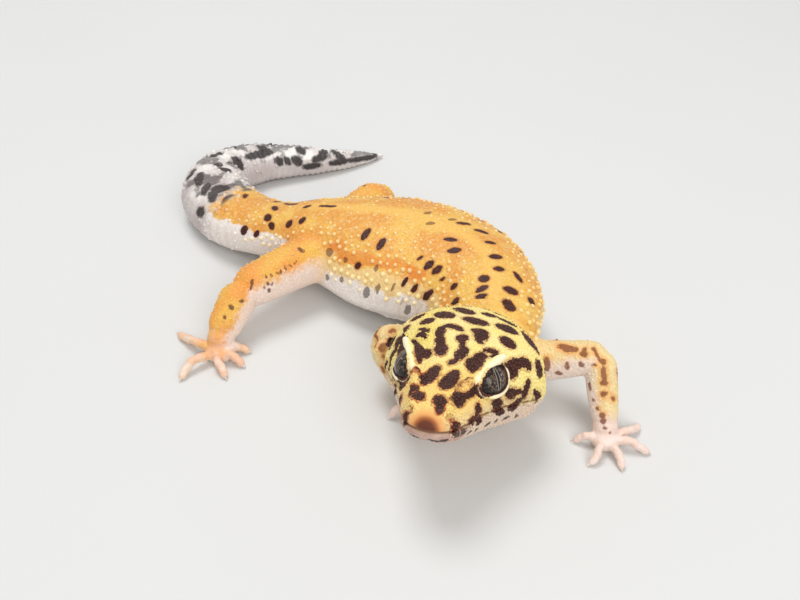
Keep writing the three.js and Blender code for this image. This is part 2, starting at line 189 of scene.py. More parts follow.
def spine_frame(station):
    """The centre of the section at a station, and its axes: across to the left, and upwards."""
    t = np.asarray(station, float) / LAST_STATION
    step = 1e-4
    centre = ease(SPINE[:, :3], t, True)
    ahead = ease(SPINE[:, :3], np.minimum(t + step, 1), True)
    heading = unit(ahead - ease(SPINE[:, :3], np.maximum(t - step, 0), True))
    across = unit(np.cross(heading, UP))
    return centre, heading, across, np.cross(across, heading)


def spine_size(station):
    return [ease(SPINE[:, k], np.asarray(station, float) / LAST_STATION) for k in (3, 4, 5, 6)]


def on_spine(station, degrees, lift=0.0):
    """A point on the trunk or tail; 0 degrees is its left side and 90 its back."""
    station, degrees = np.broadcast_arrays(np.asarray(station, float), degrees)
    centre, _, across, rise = spine_frame(station)
    half, up, down, lean = spine_size(station)
    x, z = section(np.radians(degrees), half + lift, up + lift, down + lift, SPINE_POWER, lean)
    return centre + across * x[..., None] + rise * z[..., None]


def skull_size(back):
    """Half width, reach up and reach down of the skull, and how square it is above, at a distance back."""
    t = np.linspace(0, 1, 1500)
    key = np.interp(back, ease(SKULL[:, 0], t), t)
    slope, middle, length = BROW_SLOPE
    above = SKULL_POWER[0] - slope * np.exp(-((np.asarray(back) - middle) / length) ** 2)
    return *(ease(SKULL[:, k], key) for k in (1, 2, 3)), above


def on_skull(back, degrees, lift=0.0):
    """A point on the head before it is turned and lifted into place."""
    back, degrees = np.broadcast_arrays(np.asarray(back, float), degrees)
    half, up, down, above = skull_size(back)
    x, z = section(np.radians(degrees), half + lift, up + lift, down + lift, (above, SKULL_POWER[1]))
    return np.stack([x, back, z], -1)


def turn(axis, degrees):
    c, s = math.cos(math.radians(degrees)), math.sin(math.radians(degrees))
    i, j = [(1, 2), (2, 0), (0, 1)][axis]
    matrix = np.eye(3)
    matrix[i, i], matrix[j, j], matrix[i, j], matrix[j, i] = c, c, -s, s
    return matrix


HEAD_TURN = turn(2, -HEAD_YAW) @ turn(0, -HEAD_PITCH) @ turn(1, -HEAD_ROLL)


def place_head(points):
    return np.asarray(points) @ HEAD_TURN.T + SNOUT


def on_side(point, side):
    """A place on the left of the head, or its mirror image on the right."""
    return np.asarray(point, float) * [side, 1, 1]


def on_head(back, degrees, lift=0.0):
    return place_head(on_skull(back, degrees, lift))


def leg_bones(leg):
    """The straight pieces of a leg: start, end, half thicknesses, and the reach that each begins at."""
    root, knee, ankle = leg["joints"]
    return [(root, knee, leg["upper"], 0), (knee, ankle, leg["lower"], 1),
            (ankle, leg["at"], ANKLE_HALF * leg["palm"][0], 2)]


def on_leg(leg):
    """A way to lay marks on a leg: reach is 0 at its root, 1 knee, 2 ankle, 3 palm; 90 degrees is on top."""

    def place(reach, degrees):
        reach, degrees = np.broadcast_arrays(np.asarray(reach, float), degrees)
        points = np.empty(reach.shape + (3,))
        for start, end, halves, order in leg_bones(leg):
            here = (reach >= order) | (order == 0)
            start, end = np.array(start, float), np.array(end, float)
            t = np.clip(reach - order, 0, 1)
            across = unit(np.cross(unit(end - start), UP))
            rise = np.cross(across, unit(end - start))
            angle, half = np.radians(degrees), ease(halves, t)
            aside, up = (half * np.cos(angle))[..., None], (half * np.sin(angle))[..., None]
            points[here] = (start + (end - start) * t[..., None] + across * aside + rise * up)[here]
        return points

    return place


class Solid:
    """Loose closed shells of points and faces, gathered before they become one mesh."""

    def __init__(self):
        self.points, self.faces, self.count = [], [], 0

    def shell(self, rings):
        """A closed shell over rings that all hold the same number of points, with a fan at each end."""
        rings = np.asarray(rings)
        n, m = rings.shape[:2]
        i = np.arange(m)
        j = (i + 1) % m
        first = self.count
        for r in range(n - 1):
            a, b = first + r * m, first + (r + 1) * m
            self.faces += np.stack([a + i, a + j, b + j, b + i], 1).tolist()
        head, tail = first + n * m, first + n * m + 1
        end = first + (n - 1) * m
        self.faces += [[head, first + q, first + p] for p, q in zip(i, j)]
        self.faces += [[tail, end + p, end + q] for p, q in zip(i, j)]
        self.points += [rings.reshape(-1, 3), rings[:1].mean(1), rings[-1:].mean(1)]
        self.count += n * m + 2

    def mesh(self, name):
        mesh = bpy.data.meshes.new(name)
        mesh.from_pydata(np.concatenate(self.points).tolist(), [], self.faces)
        mesh.update()
        return mesh


def rings_along(centres, halves, sides):
    """Round rings across a path, level on one axis."""
    centres = np.asarray(centres)
    heading = unit(np.gradient(centres, axis=0))
    across = unit(np.cross(heading, UP))
    rise = np.cross(across, heading)
    angle = np.linspace(0, 2 * np.pi, sides, endpoint=False)
    ring = across[:, None] * np.cos(angle)[None, :, None] + rise[:, None] * np.sin(angle)[None, :, None]
    return centres[:, None] + ring * np.asarray(halves)[:, None, None]


def closing_steps(count):
    """Steps from 0 to 1 that lie closer near both ends."""
    return 0.5 - 0.5 * np.cos(np.linspace(0, np.pi, count))


def domed(halves, t, length):
    """Half thicknesses at the shares t of a bar of this length, rounded off at both ends."""
    radius = ease(halves, t)
    from_end = np.minimum(t, 1 - t) * length
    return radius * np.sqrt(np.maximum(0.02, 1 - np.maximum(0, 1 - from_end / radius) ** 2))


def bone_rings(start, end, halves, past):
    """A limb bone with rounded ends that reach past its joints."""
    start, end = np.asarray(start, float), np.asarray(end, float)
    heading = unit(end - start)
    start, end = start - heading * past[0], end + heading * past[1]
    t = closing_steps(40)
    return rings_along(start + (end - start) * t[:, None], domed(halves, t, np.linalg.norm(end - start)), 36)


def tube_rings(points, halves):
    """A bar with domed ends through a few points."""
    t = closing_steps(30)
    centres = ease(points, t, True)
    length = np.linalg.norm(np.diff(centres, axis=0), axis=1).sum()
    return rings_along(centres, domed(halves, t, length), 20)


def ball_rings(centre, reach, count=28):
    """A ball, or a rounded lump where its reach differs by axis."""
    angle = np.linspace(0.02, np.pi - 0.02, count)
    around = np.linspace(0, 2 * np.pi, 2 * count, endpoint=False)
    ring = np.stack([np.sin(angle)[:, None] * np.cos(around), np.sin(angle)[:, None] * np.sin(around),
                     np.repeat(np.cos(angle)[:, None], 2 * count, 1)], -1)
    return np.asarray(centre) + ring * reach


def toe_path(leg, knuckle, tip, bow=0.0):
    """The middle line of a toe, from inside the palm to where its claw begins."""
    palm, k, e = (np.asarray(p, float) for p in (leg["at"], knuckle, tip))
    e = e + unit((e - k) * [1, 1, 0]) * TOE_PAST
    start = palm + (k - palm) * 0.3
    start[2] = palm[2]
    aside = np.cross(UP, unit(e - k)) * bow
    return np.array([start, k + aside * 0.5, k + (e - k) * 0.35 + aside, k + (e - k) * 0.7 + aside * 0.9, e])


def lid_axes(side):
    """The middle of one eye's opening, and its axes: along the slit, out, and up across it."""
    gaze = unit(on_side(GAZE, side))
    ridge = on_side(LID_RIDGE[3], side) - on_side(LID_RIDGE[0], side)
    along = unit(ridge - gaze * ridge.dot(gaze))
    across = np.cross(gaze, along) * -side
    if across[2] < 0:
        across = -across
    return on_side(EYE_AT, side), along, gaze, across


def lid_rim(side, radius):
    """The closed line round one eye's opening, on a ball of a given radius, and how far up each point is."""
    centre, along, gaze, across = lid_axes(side)
    angle = np.linspace(0, 2 * np.pi, 72, endpoint=False)
    x = LID_SLIT[0] * np.cos(angle)
    y = LID_SLIT[1] * np.sin(angle) - LID_DROP
    out = np.sqrt(radius ** 2 - x ** 2 - y ** 2)
    line = centre + x[:, None] * along + y[:, None] * across + out[:, None] * gaze
    return line, np.sin(angle)


def mouth_height(back):
    """How high the line between the lips lies, at a distance back from the snout."""
    return np.interp(back, MOUTH[:, 0], MOUTH[:, 1])


def slit_reach(x, y, trim=0.0):
    """1 on the edge of the lids' opening, which is shorter towards the back corner and below."""
    half = np.where(x > 0, 0.84, 1.0) * LID_SLIT[0], np.where(y < 0, 0.87, 1.0) * LID_SLIT[1]
    return np.hypot(x / (half[0] - trim), y / (half[1] - trim))


def from_opening(local, side):
    """How far out from one eye's opening a point lies: 1 on its edge, more outside, 9 far off.
    Then how far it lies towards the back corner, and how far up."""
    centre, along, gaze, across = lid_axes(side)
    off = local - centre
    x, y = off @ along, off @ across + LID_DROP
    near = (off @ gaze > 0.3) & (np.linalg.norm(off, axis=1) < 6.5)
    return np.where(near, slit_reach(x, y), 9.0), x, y


# ---------------- where a point lies on the animal


def nearest_on(points, line):
    """The index of the nearest point of a line for each point."""
    found = np.empty(len(points), int)
    square = (line ** 2).sum(1)
    for first in range(0, len(points), 8000):
        block = points[first:first + 8000]
        found[first:first + 8000] = (square - 2 * block @ line.T).argmin(1)
    return found


def around(x, z, half, height, power):
    """The angle on a section, in degrees, and how far out a point lies, where 1 is on its edge."""
    c = np.sign(x) * np.abs(x / half) ** (power / 2)
    s = np.sign(z) * np.abs(z / height) ** (power / 2)
    return np.degrees(np.arctan2(s, c)), np.hypot(c, s) ** (2 / power)


def to_bone(points, start, end, halves):
    """How far each point lies outside a limb bone, how far along it, and the angle round it in degrees."""
    start, end = np.asarray(start, float), np.asarray(end, float)
    axis = end - start
    length = np.linalg.norm(axis)
    axis = axis / length
    t = np.clip((points - start) @ axis / length, 0, 1)
    off = points - start - t[:, None] * length * axis
    across = unit(np.cross(axis, UP))
    rise = np.cross(across, axis)
    angle = np.degrees(np.arctan2(off @ rise, off @ across))
    return np.linalg.norm(off, axis=1) - ease(halves, t), t, angle


class Places:
    """Where each point of the skin lies: on which part, how far along it and at what angle round it."""

    def __init__(self, points, out=None):
        self.points, self.out = points, out
        self.gaps = np.array([self.lay_on_head(), self.lay_on_spine(), self.lay_on_legs()])
        self.part = self.gaps.argmin(0)  # 0 head, 1 neck, trunk and tail, 2 legs
        self.share = self.parts_within(0.7)
        self.blend = self.parts_within(1.5)  # for colours

    def parts_within(self, width):
        """How much of each point belongs to head, body and legs, which blend over a strip of this width."""
        share = np.exp(-np.clip(self.gaps - self.gaps.min(0), 0, 20) / width)
        return share / share.sum(0)

    def lay_on_head(self):
        self.local = (self.points - SNOUT) @ HEAD_TURN
        x, self.back, z = self.local.T
        inside = np.clip(self.back, 0.2, SKULL[-1, 0])
        half, up, down, above = skull_size(inside)
        power = np.where(z > 0, above, SKULL_POWER[1])
        _, ratio = around(x, z, half, np.where(z > 0, up, down), power)
        reach = np.hypot(x, z)
        gap = reach - reach / np.maximum(ratio, 1e-3)
        return gap + np.maximum(0, -self.back) + np.maximum(0, self.back - SKULL[-1, 0])

    def lay_on_spine(self):
        stations = np.linspace(0, LAST_STATION, 900)
        centre, heading, across, rise = spine_frame(stations)
        near = nearest_on(self.points, centre)
        self.station = stations[near]
        off = self.points - centre[near]
        x, z = (off * across[near]).sum(1), (off * rise[near]).sum(1)
        half, up, down, lean = spine_size(self.station)
        height = np.where(z > 0, up, down)
        power = np.where(z > 0, SPINE_POWER[0], SPINE_POWER[1])
        self.spine_angle, ratio = around(x - lean * z / up, z, half, height, power)
        reach = np.hypot(x, z)
        gap = reach - reach / np.maximum(ratio, 1e-3) + np.maximum(0, 0.5 - self.station) * 9
        return gap + np.abs((off * heading[near]).sum(1))  # for what lies beyond its ends

    def lay_on_legs(self):
        gaps, along, angles, legs, ends = [], [], [], [], []
        for number, leg in enumerate(LEGS.values()):
            bones = leg_bones(leg)
            bones += [(leg["at"], tip, [leg["palm"][1] + 0.3, 1.2, 0.8], 3) for _, tip in leg["toes"]]
            for start, end, halves, order in bones:
                gap, t, angle = to_bone(self.points, start, end, halves)
                gaps.append(gap)
                along.append(order + t)
                angles.append(angle)
                legs.append(number)
                ends.append((start, np.subtract(end, start)))
        gaps = np.array(gaps)
        best = gaps.argmin(0)
        pick = (best, np.arange(len(self.points)))
        self.reach = np.array(along)[pick]  # 0 root, 1 knee, 2 ankle, 3 palm, 4 toe tips
        self.leg_angle = np.array(angles)[pick]
        self.leg = np.array(legs)[best]
        self.fore = self.leg < 2  # both front legs come first
        start, bone = np.array(ends, float)[best].transpose(1, 0, 2)
        t = np.clip(((self.points - start) * bone).sum(1) / (bone ** 2).sum(1), 0, 1)
        inwards, forwards, downwards = -unit(self.points - start - t[:, None] * bone).T
        inwards = inwards * np.where(np.isin(self.leg, LEFT_LEGS), 1, -1)
        upper = 0.3 * inwards + 0.6 * forwards + 0.75 * downwards - 0.08
        lower = 0.85 * inwards + 0.5 * downwards - 0.2
        below_knee = rise_between(self.reach, 0.85, 1.15)
        self.pale_side = upper + (lower - upper) * below_knee  # above 0 on the pale side of a leg
        return gaps[pick]

    def from_back(self):
        """Degrees down from the middle of the back, the same on both sides."""
        return np.abs((self.spine_angle - BACK_LINE + 180) % 360 - 180)


# ---------------- markings
# Each mark is a stroke: its half width in mm, then the places that it goes through, two numbers for each:
# how far along the head (mm), the spine (station) or the leg (reach), and how many degrees round it.

CROWN_MARKS = [
    (0.88, 6.1, 110, 8.9, 100.5), (0.98, 5.8, 82, 6.8, 79, 8.7, 73.5), (0.35, 10.2, 86, 10.9, 78),
    (0.78, 11.5, 78.5, 13.3, 75.5), (0.75, 15.4, 87, 15.7, 83), (0.4, 15.2, 84, 13.6, 79.5),
    (0.5, 17.6, 88.5, 18.3, 93, 18.5, 98, 17.8, 102), (0.68, 17.8, 102, 16.6, 104, 15.2, 104.5),
    (0.72, 15.2, 104.5, 13.6, 103.5), (0.92, 13.3, 102.5, 11.9, 101.5),
    (0.55, 15.6, 129.5, 13.2, 127, 10.8, 125.5), (0.8, 12.2, 120.5, 11.7, 116.5),
    (0.42, 17.9, 121, 17.5, 117, 16.9, 113.5), (0.45, 16.3, 124.5, 16.6, 120, 15.4, 117),
    (0.88, 19.9, 118.5, 20.3, 112), (1.1, 22.7, 109, 22.3, 104, 21.8, 99.5),
    (1.0, 25.9, 99.5, 25.0, 94, 24.3, 89.5), (0.92, 21.6, 89.5, 21.3, 84, 21.4, 78),
    (0.75, 25.3, 81.5, 25.6, 75), (0.6, 18.4, 81.5, 18.9, 73.5), (1.0, 18.0, 76, 17.2, 72.5),
    (0.38, 16.2, 74, 16.0, 69), (0.98, 22.3, 68.5, 22.7, 62, 23.1, 56.5),
    (0.6, 25.4, 69, 25.6, 62, 25.8, 56), (0.98, 19.0, 59, 19.2, 51.5),
    (0.38, 14.9, 62, 15.6, 57.5, 16.0, 54.5), (0.82, 13.9, 58.5, 12.6, 60.5), (0.82, 12.4, 61, 11.0, 62),
    (0.85, 12.6, 56.5, 10.8, 57.5), (0.3, 14.4, 54, 15.6, 51.5), (1.2, 25.0, 46, 24.2, 38, 24.0, 31),
    (0.45, 28.6, 56, 27.6, 45), (0.45, 27.6, 113, 27.2, 107), (0.5, 29, 101, 29, 95),
    (0.45, 30, 87, 29.6, 80), (0.4, 28.8, 74, 28.2, 68), (0.4, 29.5, 64, 28.6, 58), (0.6, 27, 122, 26, 128),
    (0.95, 23.6, 124, 22.4, 129), (0.82, 20.0, 133.5, 18.9, 140),
]
CHEEK_MARKS = [  # the left side of the face
    (1.0, 15.2, 29.5, 15.7, 35, 17.0, 36.5), (0.8, 17.0, 36.5, 18.5, 31.5, 18.4, 27),
    (0.92, 21.0, 24, 20.6, 15), (0.75, 13.4, 14.5, 14.6, 11.5), (0.35, 14.8, 11.5, 15.8, 9.5),
    (0.6, 17.4, 16, 16.7, 9, 16.1, 4), (0.85, 11.0, 12, 11.4, 4), (0.6, 11.3, -2, 12.4, -6),
    (0.7, 13.9, -4, 15.3, 0), (0.62, 7.4, 19, 7.0, 14), (0.42, 6.8, 11, 6.3, 8), (0.42, 4.8, 5, 6.4, 4),
    (0.55, 6.8, -5, 7.6, -1), (0.62, 1.7, 17, 2.0, 0), (0.68, 8.4, 42, 6.9, 44), (0.5, 6.9, 44, 5.9, 46),
    (0.72, 5.6, 47, 4.6, 49, 3.9, 51), (0.6, 23.4, 12, 24.6, 4), (0.55, 25.4, 18, 27.0, 12),
    (0.5, 18.4, 3, 19.2, -3),
]
RIGHT_FACE_MARKS = [  # the right side in front, which is not the mirror image of the left
    (0.32, 8.8, 131, 6.6, 136), (0.62, 5.0, 129.5, 4.1, 131), (0.82, 9.4, 161, 8.6, 151),
    (0.95, 13.9, 163, 13.4, 170), (0.6, 17.6, 152, 17.2, 160), (0.65, 1.4, 160, 1.7, 180),
    (0.7, 6.4, 168, 5.4, 176), (0.7, 11.0, 176, 11.8, 186),
]
NOSE_MARKS = [
    (0.7, 3.3, 120, 3.2, 110), (0.82, 3.4, 81, 2.7, 77), (0.48, 2.3, 75, 1.5, 70),
]
JAW_MARKS = [  # faint ones of the lower jaw: six along its left side, which are mirrored, and its front
    (0.3, 5.4, -24, 5.9, -20), (0.28, 7.4, -21, 7.8, -27), (0.35, 9.6, -24, 10.4, -20),
    (0.3, 11.8, -19, 12.0, -25), (0.35, 13.4, -23, 14.2, -19), (0.3, 15.8, -20, 16.2, -25),
    (0.5, 0.5, -80, 0.9, -66), (0.5, 0.9, -48, 1.3, -36), (0.45, 0.9, -116, 1.1, -128),
    (0.55, 3.2, -6, 3.8, -14), (0.5, 2.0, -10, 2.4, -16),
]
TRUNK_MARKS = [
    (0.7, 2.35, 81, 2.3, 70), (0.5, 2.25, 110, 2.4, 101), (0.42, 1.9, 110, 2.0, 101),
    (0.85, 1.8, 78, 1.65, 69), (0.75, 2.72, 105, 2.72, 100.5), (0.5, 3.0, 90, 2.98, 83),
    (0.45, 2.9, 70, 2.7, 64), (0.55, 3.45, 89, 3.4, 81), (0.45, 3.95, 83, 3.85, 77),
    (0.4, 4.4, 79, 4.2, 73), (0.4, 4.85, 83, 4.65, 77), (0.45, 4.7, 106, 4.45, 102),
    (0.6, 4.3, 114.5, 4.1, 108.5), (0.6, 6.95, 117, 7.0, 126), (0.6, 6.42, 123.5, 6.48, 131.5),
    (0.6, 4.5, 131, 4.6, 137), (0.6, 4.05, 132, 4.15, 138.5), (0.25, 4.95, 129, 5.05, 133),
    (0.5, 2.9, 132, 2.85, 137), (0.25, 3.5, 138, 3.55, 142), (0.6, 2.1, 134, 2.05, 140),
    (0.5, 3.5, 157, 3.65, 168), (0.4, 4.6, 155, 4.65, 162), (0.35, 5.15, 151, 5.25, 158),
    (0.5, 6.88, 149, 6.92, 153), (0.6, 9.1, 118, 9.15, 124), (0.6, 9.5, 124, 9.55, 131),
    (0.7, 10.35, 116, 10.3, 121), (0.6, 10.15, 131, 10.05, 137), (0.7, 10.85, 146, 10.9, 156),
    (0.45, 10.5, 149, 10.55, 157), (0.5, 10.2, 98, 10.35, 92), (0.5, 9.7, 80, 10.1, 76),
    (0.4, 9.3, 95, 9.15, 92), (0.3, 8.85, 93, 8.4, 91), (0.5, 11.5, 86, 11.6, 78),
]
FAINT_MARKS = [
    (0.4, 5.1, 84, 5.0, 80), (0.4, 5.75, 87, 5.65, 83), (0.45, 5.5, 98, 5.35, 95),
    (0.35, 6.1, 163, 6.15, 171), (0.6, 6.5, 170, 6.55, 178), (0.45, 4.65, 178, 4.75, 185),
    (0.4, 7.3, 169, 7.3, 173), (0.45, 7.8, 176, 7.8, 180), (0.35, 6.35, 147, 6.37, 151),
    (0.4, 7.3, 149, 7.3, 152), (0.7, 7.9, 148, 7.85, 151), (0.25, 5.6, 158, 5.65, 165),
]
TAIL_MARKS = [
    (0.7, 11.75, 96, 11.75, 105, 11.7, 116), (1.0, 12.35, 103, 12.2, 90), (0.7, 12.3, 108, 12.1, 120),
    (0.6, 12.6, 106, 12.45, 120), (0.7, 13.1, 110, 12.8, 116), (0.75, 12.15, 149, 12.2, 155),
    (0.65, 11.5, 140, 11.4, 152), (0.9, 14.2, 62, 14.1, 50, 13.9, 38), (0.6, 13.3, 74, 13.2, 62),
    (0.4, 13.5, 80, 13.5, 84), (0.7, 14.7, 60, 15.1, 62, 15.4, 70), (0.8, 15.2, 95, 15.3, 75, 15.15, 62),
    (0.6, 13.9, 104, 14.1, 98), (0.6, 16.15, 95, 16.2, 70), (0.55, 16.75, 90, 16.7, 55, 16.5, 35),
    (0.45, 17.0, 90, 17.15, 55, 17.2, 20), (0.6, 16.0, 45, 16.1, 25), (0.5, 15.6, 45, 15.65, 30),
    # The last two strokes on the next line lie along the lower edge of the tail near its tip: a soft band of
    # painted shade.
    (0.35, 15.8, 45, 15.85, 28), (0.38, 16.25, 6, 16.6, 10), (0.42, 16.9, 13, 17.3, 18),
    (0.35, 17.4, 20, 18.0, 25, 18.4, 30), (0.4, 18.5, 40, 18.5, 100, 18.5, 150),
    (0.6, 13.4, 128, 13.3, 138), (0.6, 14.6, 110, 14.5, 130, 14.3, 145), (0.6, 15.5, 110, 15.6, 130),
]
LEG_MARKS = {  # reach is 0 at the root, 1 at the knee and 2 at the ankle; 90 degrees is on top
    "left_fore": [
        (0.62, 0.62, 86, 0.7, 74, 0.8, 68), (0.6, 0.48, 42, 0.46, 14), (0.4, 0.7, 24, 0.69, 8),
        (0.42, 0.57, -4, 0.6, -9), (0.5, 0.87, 55, 0.91, 52), (0.38, 0.89, 72, 0.89, 56),
        (0.34, 0.99, 76, 1.0, 72), (0.36, 0.84, 22, 0.87, 14), (0.5, 1.0, 82, 1.05, 84),
        (0.2, 1.09, 42, 1.08, 58), (0.42, 1.12, 80, 1.25, 80, 1.36, 79), (0.45, 1.36, 70, 1.37, 88),
        (0.32, 1.36, 18, 1.46, 22), (0.4, 1.54, 66, 1.53, 82), (0.26, 1.62, 26, 1.64, 32),
        (0.3, 1.61, 108, 1.64, 116), (0.36, 1.75, 40, 1.77, 46), (0.46, 1.85, 60, 1.88, 64),
        (0.38, 1.95, 58, 1.96, 66), (0.28, 2.3, 68, 2.35, 80), (0.22, 2.6, 98, 2.6, 104),
        (0.5, 0.5, 130, 0.6, 140), (0.5, 0.8, 150, 0.9, 160), (0.5, 1.2, 150, 1.3, 156),
        (0.4, 1.6, 160, 1.7, 170),
    ],
    "right_fore": [
        (0.45, 0.97, 104, 0.9, 98), (0.4, 1.0, 24, 0.98, 30), (0.75, 1.12, 48, 1.1, 66),
        (0.36, 1.22, 40, 1.27, 42), (0.5, 0.6, 70, 0.7, 64), (0.4, 1.4, 10, 1.5, 4),
        (0.5, 1.3, -40, 1.4, -50), (0.4, 1.6, 60, 1.7, 66),
    ],
    "right_hind": [
        (0.15, 0.82, 129, 0.82, 134), (0.15, 0.77, 131, 0.77, 137), (0.2, 0.72, 134, 0.7, 140),
        (0.18, 0.675, 133, 0.68, 140), (0.14, 0.62, 129, 0.62, 138), (0.14, 0.575, 129, 0.56, 137),
        (0.13, 0.52, 131, 0.52, 135), (0.12, 0.49, 127, 0.5, 133), (0.24, 0.83, 147, 0.84, 152),
        (0.2, 0.88, 154, 0.88, 159), (0.16, 0.79, 153, 0.8, 158), (0.24, 0.85, 166, 0.84, 173),
        (0.42, 0.4, 103, 0.39, 117), (0.3, 1.33, 128, 1.28, 136), (0.46, 1.5, 108, 1.52, 118),
        (0.28, 1.77, 112, 1.73, 108), (0.3, 0.95, 124, 1.0, 138),
    ],
    "left_hind": [
        (0.3, 0.5, 60, 0.52, 70), (0.35, 0.8, 110, 0.85, 116), (0.4, 1.3, 60, 1.4, 66),
        (0.3, 1.6, 120, 1.65, 128),
    ],
}


FAR_OUT = -3.0  # the depth that counts as far outside every mark


def stroke_depth(points, half, line, out=None):
    """How deep each point lies inside a round-ended stroke along a line of points. Outside is negative.
    With the skin's outward directions given, how deep the skin lies under the line doesn't count."""
    depth = np.full(len(points), -np.inf)
    halves = np.broadcast_to(half, len(line))
    for a, b, first, last in zip(line[:-1], line[1:], halves[:-1], halves[1:]):
        ab = b - a
        t = np.clip((points - a) @ ab / max(ab @ ab, 1e-9), 0, 1)
        gap = points - a - t[:, None] * ab
        if out is not None:
            gap = gap - out * np.clip((gap * out).sum(1), -1.4, 1.4)[:, None]
        depth = np.maximum(depth, first + (last - first) * t - np.linalg.norm(gap, axis=1))
    return depth


def marks_depth(points, marks, place, out=None):
    """The same for a list of marks, whose places are laid on the animal by place()."""
    depth = np.full(len(points), FAR_OUT)
    for half, *stops in marks:
        along, degrees = np.reshape(stops, (-1, 2)).T
        fine = np.linspace(0, 1, 4 * len(along) - 3)
        line = place(np.interp(fine, np.linspace(0, 1, len(along)), along),
                     np.interp(fine, np.linspace(0, 1, len(along)), degrees))
        length = np.linalg.norm(line[-1] - line[0])
        near = np.linalg.norm(points - line.mean(0), axis=1) < 3.5 + length
        facing = None if out is None else out[near]
        swell = half * (0.76 + 0.5 * (1 - (2 * fine - 1) ** 2))
        depth[near] = np.maximum(depth[near], stroke_depth(points[near], swell, line, facing))
    return depth


def mirrored(marks, middle, shift=0.0, above=0.0):
    """The marks that start beyond above, on the other side of the middle line and a little further along."""
    flipped = [(half, np.reshape(stops, (-1, 2)) * [1, -1] + [shift, 2 * middle]) for half, *stops in marks
               if stops[0] > above]
    return [(half, *stops.ravel()) for half, stops in flipped]


def hash_noise(points, size, seed=0):
    """Smooth noise from 0 to 1 over space, with features of about the given size."""
    q = points / size
    cell = np.floor(q).astype(np.int64)
    f = q - cell
    f = f * f * (3 - 2 * f)
    total = np.zeros(len(points))
    for corner in np.ndindex(2, 2, 2):
        c = cell + corner  # its three numbers are stirred into one that looks random
        n = (c[:, 0] * 73856093) ^ (c[:, 1] * 19349663) ^ (c[:, 2] * 83492791) ^ (seed * 2654435761)
        n = (n ^ (n >> 13)) * 1274126177 & 0x7FFFFFFF
        n = (n ^ (n >> 11)) & 0xFFFFF
        weight = np.prod(np.where(corner, f, 1 - f), axis=1)
        total += weight * n / 0xFFFFF
    return total


def drawn_marks(at):
    """How deep each point lies inside the marks of each kind."""
    face = CROWN_MARKS + CHEEK_MARKS + RIGHT_FACE_MARKS + NOSE_MARKS
    face += mirrored(CHEEK_MARKS, HEAD_LINE, 0.5, above=14.9)
    far_flank = mirrored([m for m in TRUNK_MARKS if min(m[2::2]) > 112], BACK_LINE, 0.18)
    legs = [(marks, on_leg(LEGS[name])) for name, marks in LEG_MARKS.items()]
    drawn = {"dark": [(face, on_head), (TRUNK_MARKS, on_spine), (far_flank, on_spine)],
             "tail_dark": [(TAIL_MARKS, on_spine)], "leg_dark": legs,
             "faint": [(FAINT_MARKS, on_spine), (JAW_MARKS + mirrored(JAW_MARKS[:6], HEAD_LINE), on_head)]}
    return {kind: np.max([marks_depth(at.points, marks, place, at.out) for marks, place in groups], axis=0)
            for kind, groups in drawn.items()}


def trunk_zones(at):
    """The colour zones of neck, trunk and tail, each a number for every point."""
    body, p, station = at.blend[1], at.points, at.station
    down = at.from_back() + 15 * (hash_noise(p, 3.2, 21) - 0.5) + 9 * (hash_noise(p, 1.3, 22) - 0.5)
    orange_edge = np.interp(station, [0, 2, 3, 6, 8, 9, 11], [62, 74, 66, 60, 62, 58, 50])
    strip = np.interp(station, [8.0, 9.6], [1.0, 0.0])  # how wide the cream strip is
    rust = rise_between(down, orange_edge - 20, orange_edge - 8) * rise_between(orange_edge + 3 - down, 0, 7)
    ragged_station = 2.3 - station + 1.0 * (hash_noise(p, 2.5, 31) - 0.5)
    stripe = rise_between(8 - np.abs(at.spine_angle % 360 - BACK_LINE), 0, 5)
    stripe = stripe * rise_between(station, 1.0, 2.5) * body
    return {"tail": rise_between(station, 11.4, 12.5) * body,
            "cream": rise_between(down, orange_edge - 5, orange_edge + 9) * body,
            "white": rise_between(down, orange_edge - 6 + 14 * strip, orange_edge + 10 + 18 * strip) * body,
            "rust": rust * body * rise_between(station, 3.0, 5.0) * rise_between(9 - station, 0, 1),
            "neck": rise_between(ragged_station, 0, 0.8) * rise_between(85 - down, 0, 30),
            "stripe": stripe * rise_between(-station, -10.5, -8.5)}


def leg_zones(at):
    """The pale side of the legs, and hands and feet."""
    palms = np.array([leg["at"] for leg in LEGS.values()])[at.leg]
    near_palm = rise_between(8.0 - np.linalg.norm(at.points - palms, axis=1), 0, 6.5)
    return {"under": rise_between(at.pale_side, -0.45, 0.6), "fore": at.fore * 1.0,
            "foot": np.maximum(rise_between(at.reach, 3.05, 3.6), near_palm * np.where(at.fore, 1.0, 0.6))}


def face_zones(at):
    """Snout, nose, jaw and lips."""
    head, (x, back, z) = at.blend[0], at.local.T
    below_mouth = -(z - mouth_height(back))
    nose_tip = rise_between(1.15 - np.hypot(x / 3.2, (z - 0.5) / 2.7), 0, 0.35) * rise_between(z, 0.0, 0.3)
    nose_dark = rise_between(1.0 - np.hypot(x / 2.9, (z - 0.6) / 2.4), 0, 0.8) * rise_between(z, 0.0, 0.3)
    on_lips = (back < MOUTH_CORNER[0]) & (z < 2) & (head > 0.5)
    return {"jaw": rise_between(below_mouth, -0.6, 1.2) * head,
            "lip": rise_between(below_mouth, -3.4, -0.4) * rise_between(23 - back, 0, 8) * head,
            "snout": rise_between(15 - back, 0, 9) * head,
            "nose_tip": nose_tip * head * rise_between(2.4 - back, 0, 0.7),
            "nose_dark": nose_dark * head * rise_between(2.2 - back, 0, 0.8),
            "lips": np.where(on_lips, 0.2 - np.abs(below_mouth), -1)}


